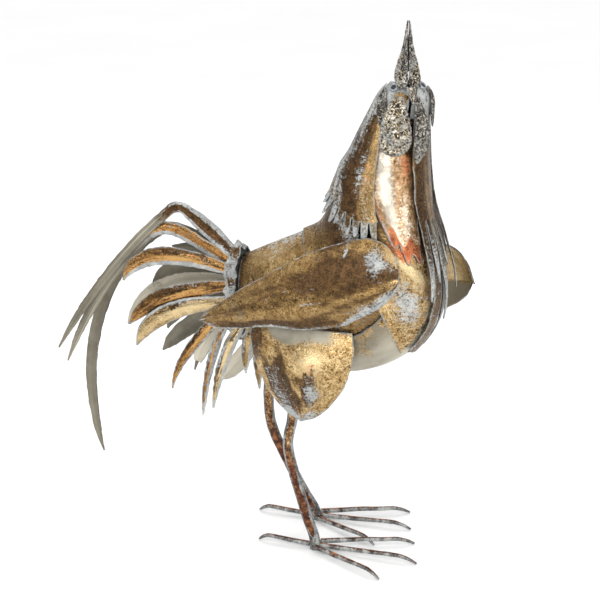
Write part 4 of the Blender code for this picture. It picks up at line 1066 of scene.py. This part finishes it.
fan("sickle_top", DARK_SLOT, DARK, lambda t, u: {"brown": 0.72 + 0.30 * brushed(t, u, 4, 3.0, 2.0),
    "copper": 0.60 * step(t, 0.28, 0.18), "bare": 1.2 * step(t, 0.26, 0.40)
    - 0.35 * step(brushed(t, u, 9, 2.0, 7.0), 0.1, 0.5), "highlight_and_pale": 0.12 + 0.3 * brushed(t, u, 5, 1.2, 6.0),
    "paint": 0.14 + 0.75 * step(u, 0.15, 0.75) * step(t, 0.28, 0.2) + 0.75 * step(u, -0.30, -0.75) * step(t, 0.30, 0.2)
    + 0.35 * brushed(t, u, 6, 4.0)},
    2.5, 327, 43, 30, 0.78, 327, TOP_SICKLE, 16, 2.0, (73, 0.24, 0.08))
fan("sickle_second", COPPER_SLOT, CLAY, lambda t, u: {"brown": 0.36 + 0.3 * brushed(t, u, 3, 3.0, 2.0),
    "copper": 0.35 * step(t, 0.35, 0.2), "bare": 1.0 * step(t, 0.30, 0.48), "highlight_and_pale": 0.25
    + 0.4 * brushed(t, u, 5, 1.2, 6.0),
    "paint": 0.12 + 0.85 * step(u, -0.15, -0.60) + 0.5 * spot(t, u, 0.28, 0.8, 0.1, 0.2)
    + 0.2 * brushed(t, u, 7, 3.0, 3.0)}, 1.5, 311, 30, 34, 1.16, 318, SECOND_SICKLE, 15, 2.5, (65, 0.29, 0.22))
fan("sickle_hanging", GREY_SLOT, BACK, smooth_blade(1.1, 0.0, 0.30), -1.5, 312, 39.5, 110.5, 0.79, 429, LONG_SICKLE, 18,
    2.5, (38, 0.21, 0.09))
fan("sickle_far", GREY_SLOT, BACK, smooth_blade(1.0, 0.2), -4.5, 305, 30, 41, 0.8, 92, SHORT_SICKLE, 7)
fan("fan_gold", GOLD_SLOT, CLAY, banded(0.34, 0.06, 0.25, 0.20, 1.0, 0.12, -0.10), 3.5, 306, 12, 84, 2.5, 147, BROAD)
fan("fan_grey_upper", GREY_SLOT, BACK, smooth_blade(0.80, 0.50, 0.0, 0.60), -2.5, 289, -0.5, 65, 1.45, 174, BROAD)
fan("fan_brown", DARK_SLOT, CLAY, banded(0.47, 0.08, 0.1, 0.22, 0.45, 0.40, -0.45), 4.5, 289, -11, 47, 2.25, 141, BROAD)
fan("fan_gold_lower", GOLD_SLOT, YELLOW, banded(0.26, 0.14, 0.30, 0.10, 0.40, 1.0, -0.45), 5.5, 271, -10, 65, 2.25, 137,
    BROAD)
fan("fan_olive", GREY_SLOT, BACK, smooth_blade(1.1), -3.5, 268, -32, 22, 3.0, 130, BROAD)
fan("spike_upper", DARK_SLOT, CLAY, banded(0.38, 0.12, 0.1, 0.25, 0.70, 0.25, -0.3), 7.5, 267, -48.5, 35, 3.0, 127,
    SPIKE)
fan("leaf_pale", GREY_SLOT, BACK, smooth_blade(1.1, 0.1, 0.0, 0.85), -5.5, 261, -45.5, 35, 3.0, 101, BLUNT, 8)
fan("spike_long", GREY_SLOT, CLAY, banded(0.40, 0.40, 0.1, 0.2, 0.8, 0.5, -0.1), 6.5, 250, -46, 40, 0.4, 125, THIN)
fan("fan_far_upper", GREY_SLOT, BACK, smooth_blade(1.0, 0.2), -6.5, 298, 4, 60, 1.8, 138, BROAD, 8)
fan("fan_far_middle", DARK_SLOT, BACK, smooth_blade(1.0, 0.2), -7.5, 280, -14, 55, 1.8, 134, BROAD, 8)
fan("spike_far", DARK_SLOT, BACK, smooth_blade(0.8, 0.3), -8.5, 262, -42, 32, 1.6, 122, SPIKE, 8)

feather("tip_rear", DARK_SLOT, YELLOW, banded(0.40, 0.35, 0.4, 0.1, 0.6, 0.3), at(-78.2, -28.0, 254), 0.12, -58, 26,
    0.9, 112, SPIKE, 9)
feather("tip_thigh_rear", GREY_SLOT, OCHRE, banded(0.35, 0.35, 0.2, 0.1, 0.5, 0.3), at(-66, -31.6, 252), 0.1, -77, 14,
    1.0, 56, SPIKE, 6, 1.5)
feather("tip_thigh_front", GREY_SLOT, OCHRE, banded(0.35, 0.35, 0.2, 0.1, 0.5, 0.3), at(-55, -34.6, 248), 0.0, -88, 6,
    1.0, 66, SPIKE, 6, 1.5)
feather("leaf_tan", GREY_SLOT, YELLOW, smooth_blade(1.0, 0.05, 0.1, 0.75), at(-76, 17, 230), -0.2, -55, -10, 1.0, 92,
    BROAD, 7)

# Tail plate: the crumpled cap that the feathers stand on.
CAP = (((-87.3, 331), (-79, 227), 0.51, 1.0), ((-95, 335), (-90, 227), 0.50, 1.0),
    ((TAIL_X, 331), (TAIL_X, 231), 0.46, 0.4), ((TAIL_X, 310), (TAIL_X, 252), 0.26, 0.0))
folds, per, between = 22, 6, 7  # folds round the plate, points a fold, rows between rings
ring_points = []
for ring, (back, low, half, rough) in enumerate(CAP):
    k = np.arange(folds)
    angle = 2 * pi * k / folds
    crumple = 1.0 + rough * (np.where((k + ring) % 2, 0.05, -0.04) + 0.03 * np.sin(5 * angle + ring * 2.1))
    centre = np.array(((back[0] + low[0]) / 2, 0.0, (back[1] + low[1]) / 2))
    rise = np.array((back[0], 0.0, back[1])) - centre
    ring_points.append((centre + (rise * np.cos(angle)[:, None]
        + np.array((0.0, -half * BODY_HALF, 0.0)) * np.sin(angle)[:, None]) * crumple[:, None]) * U)
ring_points = np.array(ring_points)
around = np.arange(folds * per) / per
i = around.astype(int)
f = (around - i)[:, None]
fine_rings = [ring[i % folds] * (1 - f) + ring[(i + 1) % folds] * f for ring in ring_points]
rows = []
for a, b in zip(fine_rings[:-1], fine_rings[1:]):
    rows += [a + (b - a) * k / between for k in range(between)]
rows.append(fine_rings[-1])
middle = fine_rings[-1].mean(0)
rows += [fine_rings[-1] * (1 - k) + middle * k for k in (0.3, 0.6, 0.85, 0.97)]
wrap = folds * per
points = np.concatenate(rows)
axis_point = np.repeat([row.mean(0) + np.array((0.02, 0, 0)) for row in rows], wrap, axis=0)
shape = step(np.arange(len(points)) // wrap, 3 * between + 1, 3 * between - 6)
crush = ((2.4 * (1 - 2 * np.abs(wobble(points, 0.014, 71))) + 1.7 * (1
    - 2 * np.abs(wobble(points, 0.006, 77)))) * U * shape)[:, None]
points = points + unit(points - axis_point) * crush
faces = ring_faces(len(rows), wrap)
faces.append(tuple((len(rows) - 1) * wrap + k for k in range(wrap)))
metal("tail_plate", GREY_SLOT, points, faces, points - axis_point, DARK,
      {"paint": 0.72 + 0.45 * fractal(points, 0.010, 5), "brown": 0.62 + 0.3 * fractal(points, 0.009, 6)}, SHEET, 0.1,
      smooth=18.0)

# Floor, light and camera.
floor_mesh = bpy.data.meshes.new("floor")
floor_mesh.from_pydata([(-12, -12, 0), (12, -12, 0), (12, 12, 0), (-12, 12, 0)], [], [(0, 1, 2, 3)])
floor = bpy.data.objects.new("floor", floor_mesh)
bpy.context.scene.collection.objects.link(floor)
pale = Shader("pale_floor")
grain = pale.noise(3.0, 2.0, 0.5)
pale.finish(pale.ramp(grain, (0.3, (0.86, 0.86, 0.86)), (0.7, (0.88, 0.88, 0.88))), 0.0, 0.7, grain, 0.0001, 0.05)
floor_mesh.materials.append(pale.material)
floor.location.z = -0.0002
floor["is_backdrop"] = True

world = bpy.data.worlds.new("studio")
bpy.context.scene.world = world
world.use_nodes = True
sky = world.node_tree
direction = sky.nodes.new("ShaderNodeTexCoord").outputs["Generated"]
split = sky.nodes.new("ShaderNodeSeparateXYZ")
sky.links.new(direction, split.inputs[0])
tone = sky.nodes.new("ShaderNodeValToRGB")
sky.links.new(split.outputs["Z"], tone.inputs["Fac"])
HORIZON = ((0.0, 0.16), (0.22, 0.20), (0.42, 1.0), (1.0, 1.0))
while len(tone.color_ramp.elements) < len(HORIZON):
    tone.color_ramp.elements.new(0.5)
for element, (place, level) in zip(tone.color_ramp.elements, HORIZON):
    element.position = place
    element.color = (level, level, level, 1.0)
sky.links.new(tone.outputs["Color"], sky.nodes["Background"].inputs["Color"])
sky.nodes["Background"].inputs["Strength"].default_value = 1.25

FOCAL_PIXELS = 1722.14
PICTURE_PIXELS = 600.0
SENSOR_MM = 36.0
CAMERA = np.array((0.7181, -1.6583, 0.8699)) + SHIFT
TARGET = np.array((-0.0169, -0.0075, 0.2827)) + SHIFT


def softbox(name, place, aim, size, power):
    data = bpy.data.lights.new(name, "AREA")
    data.shape = "RECTANGLE"
    data.size, data.size_y = size
    data.energy = power
    lamp = bpy.data.objects.new(name, data)
    bpy.context.scene.collection.objects.link(lamp)
    lamp.location = place
    lamp.rotation_euler = (Vector(aim) - Vector(place)).to_track_quat("-Z", "Y").to_euler()


middle = (cad_low + cad_high) / 2
softbox("key", (-0.9, -1.7, 1.5), middle, (0.5, 0.9), 11.0)
softbox("fill", (1.9, -0.9, 0.9), middle, (0.4, 1.2), 8.0)
softbox("back", (-0.8, 1.4, 1.5), middle, (0.6, 0.6), 7.0)
softbox("low_strip", np.array((0.37, -1.0, 0.23)) + SHIFT, (middle.x + 0.05, middle.y, 0.36), (0.14, 0.42), 2.2)

camera_data = bpy.data.cameras.new("camera")
camera_data.lens = FOCAL_PIXELS * SENSOR_MM / PICTURE_PIXELS
camera_data.sensor_width = SENSOR_MM
camera_data.clip_end = 50.0
camera = bpy.data.objects.new("camera", camera_data)
bpy.context.scene.collection.objects.link(camera)
camera.location = CAMERA
camera.rotation_euler = (Vector(TARGET) - Vector(CAMERA)).to_track_quat("-Z", "Y").to_euler()
bpy.context.scene.camera = camera
bpy.context.scene.view_settings.view_transform = "Standard"

low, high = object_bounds()
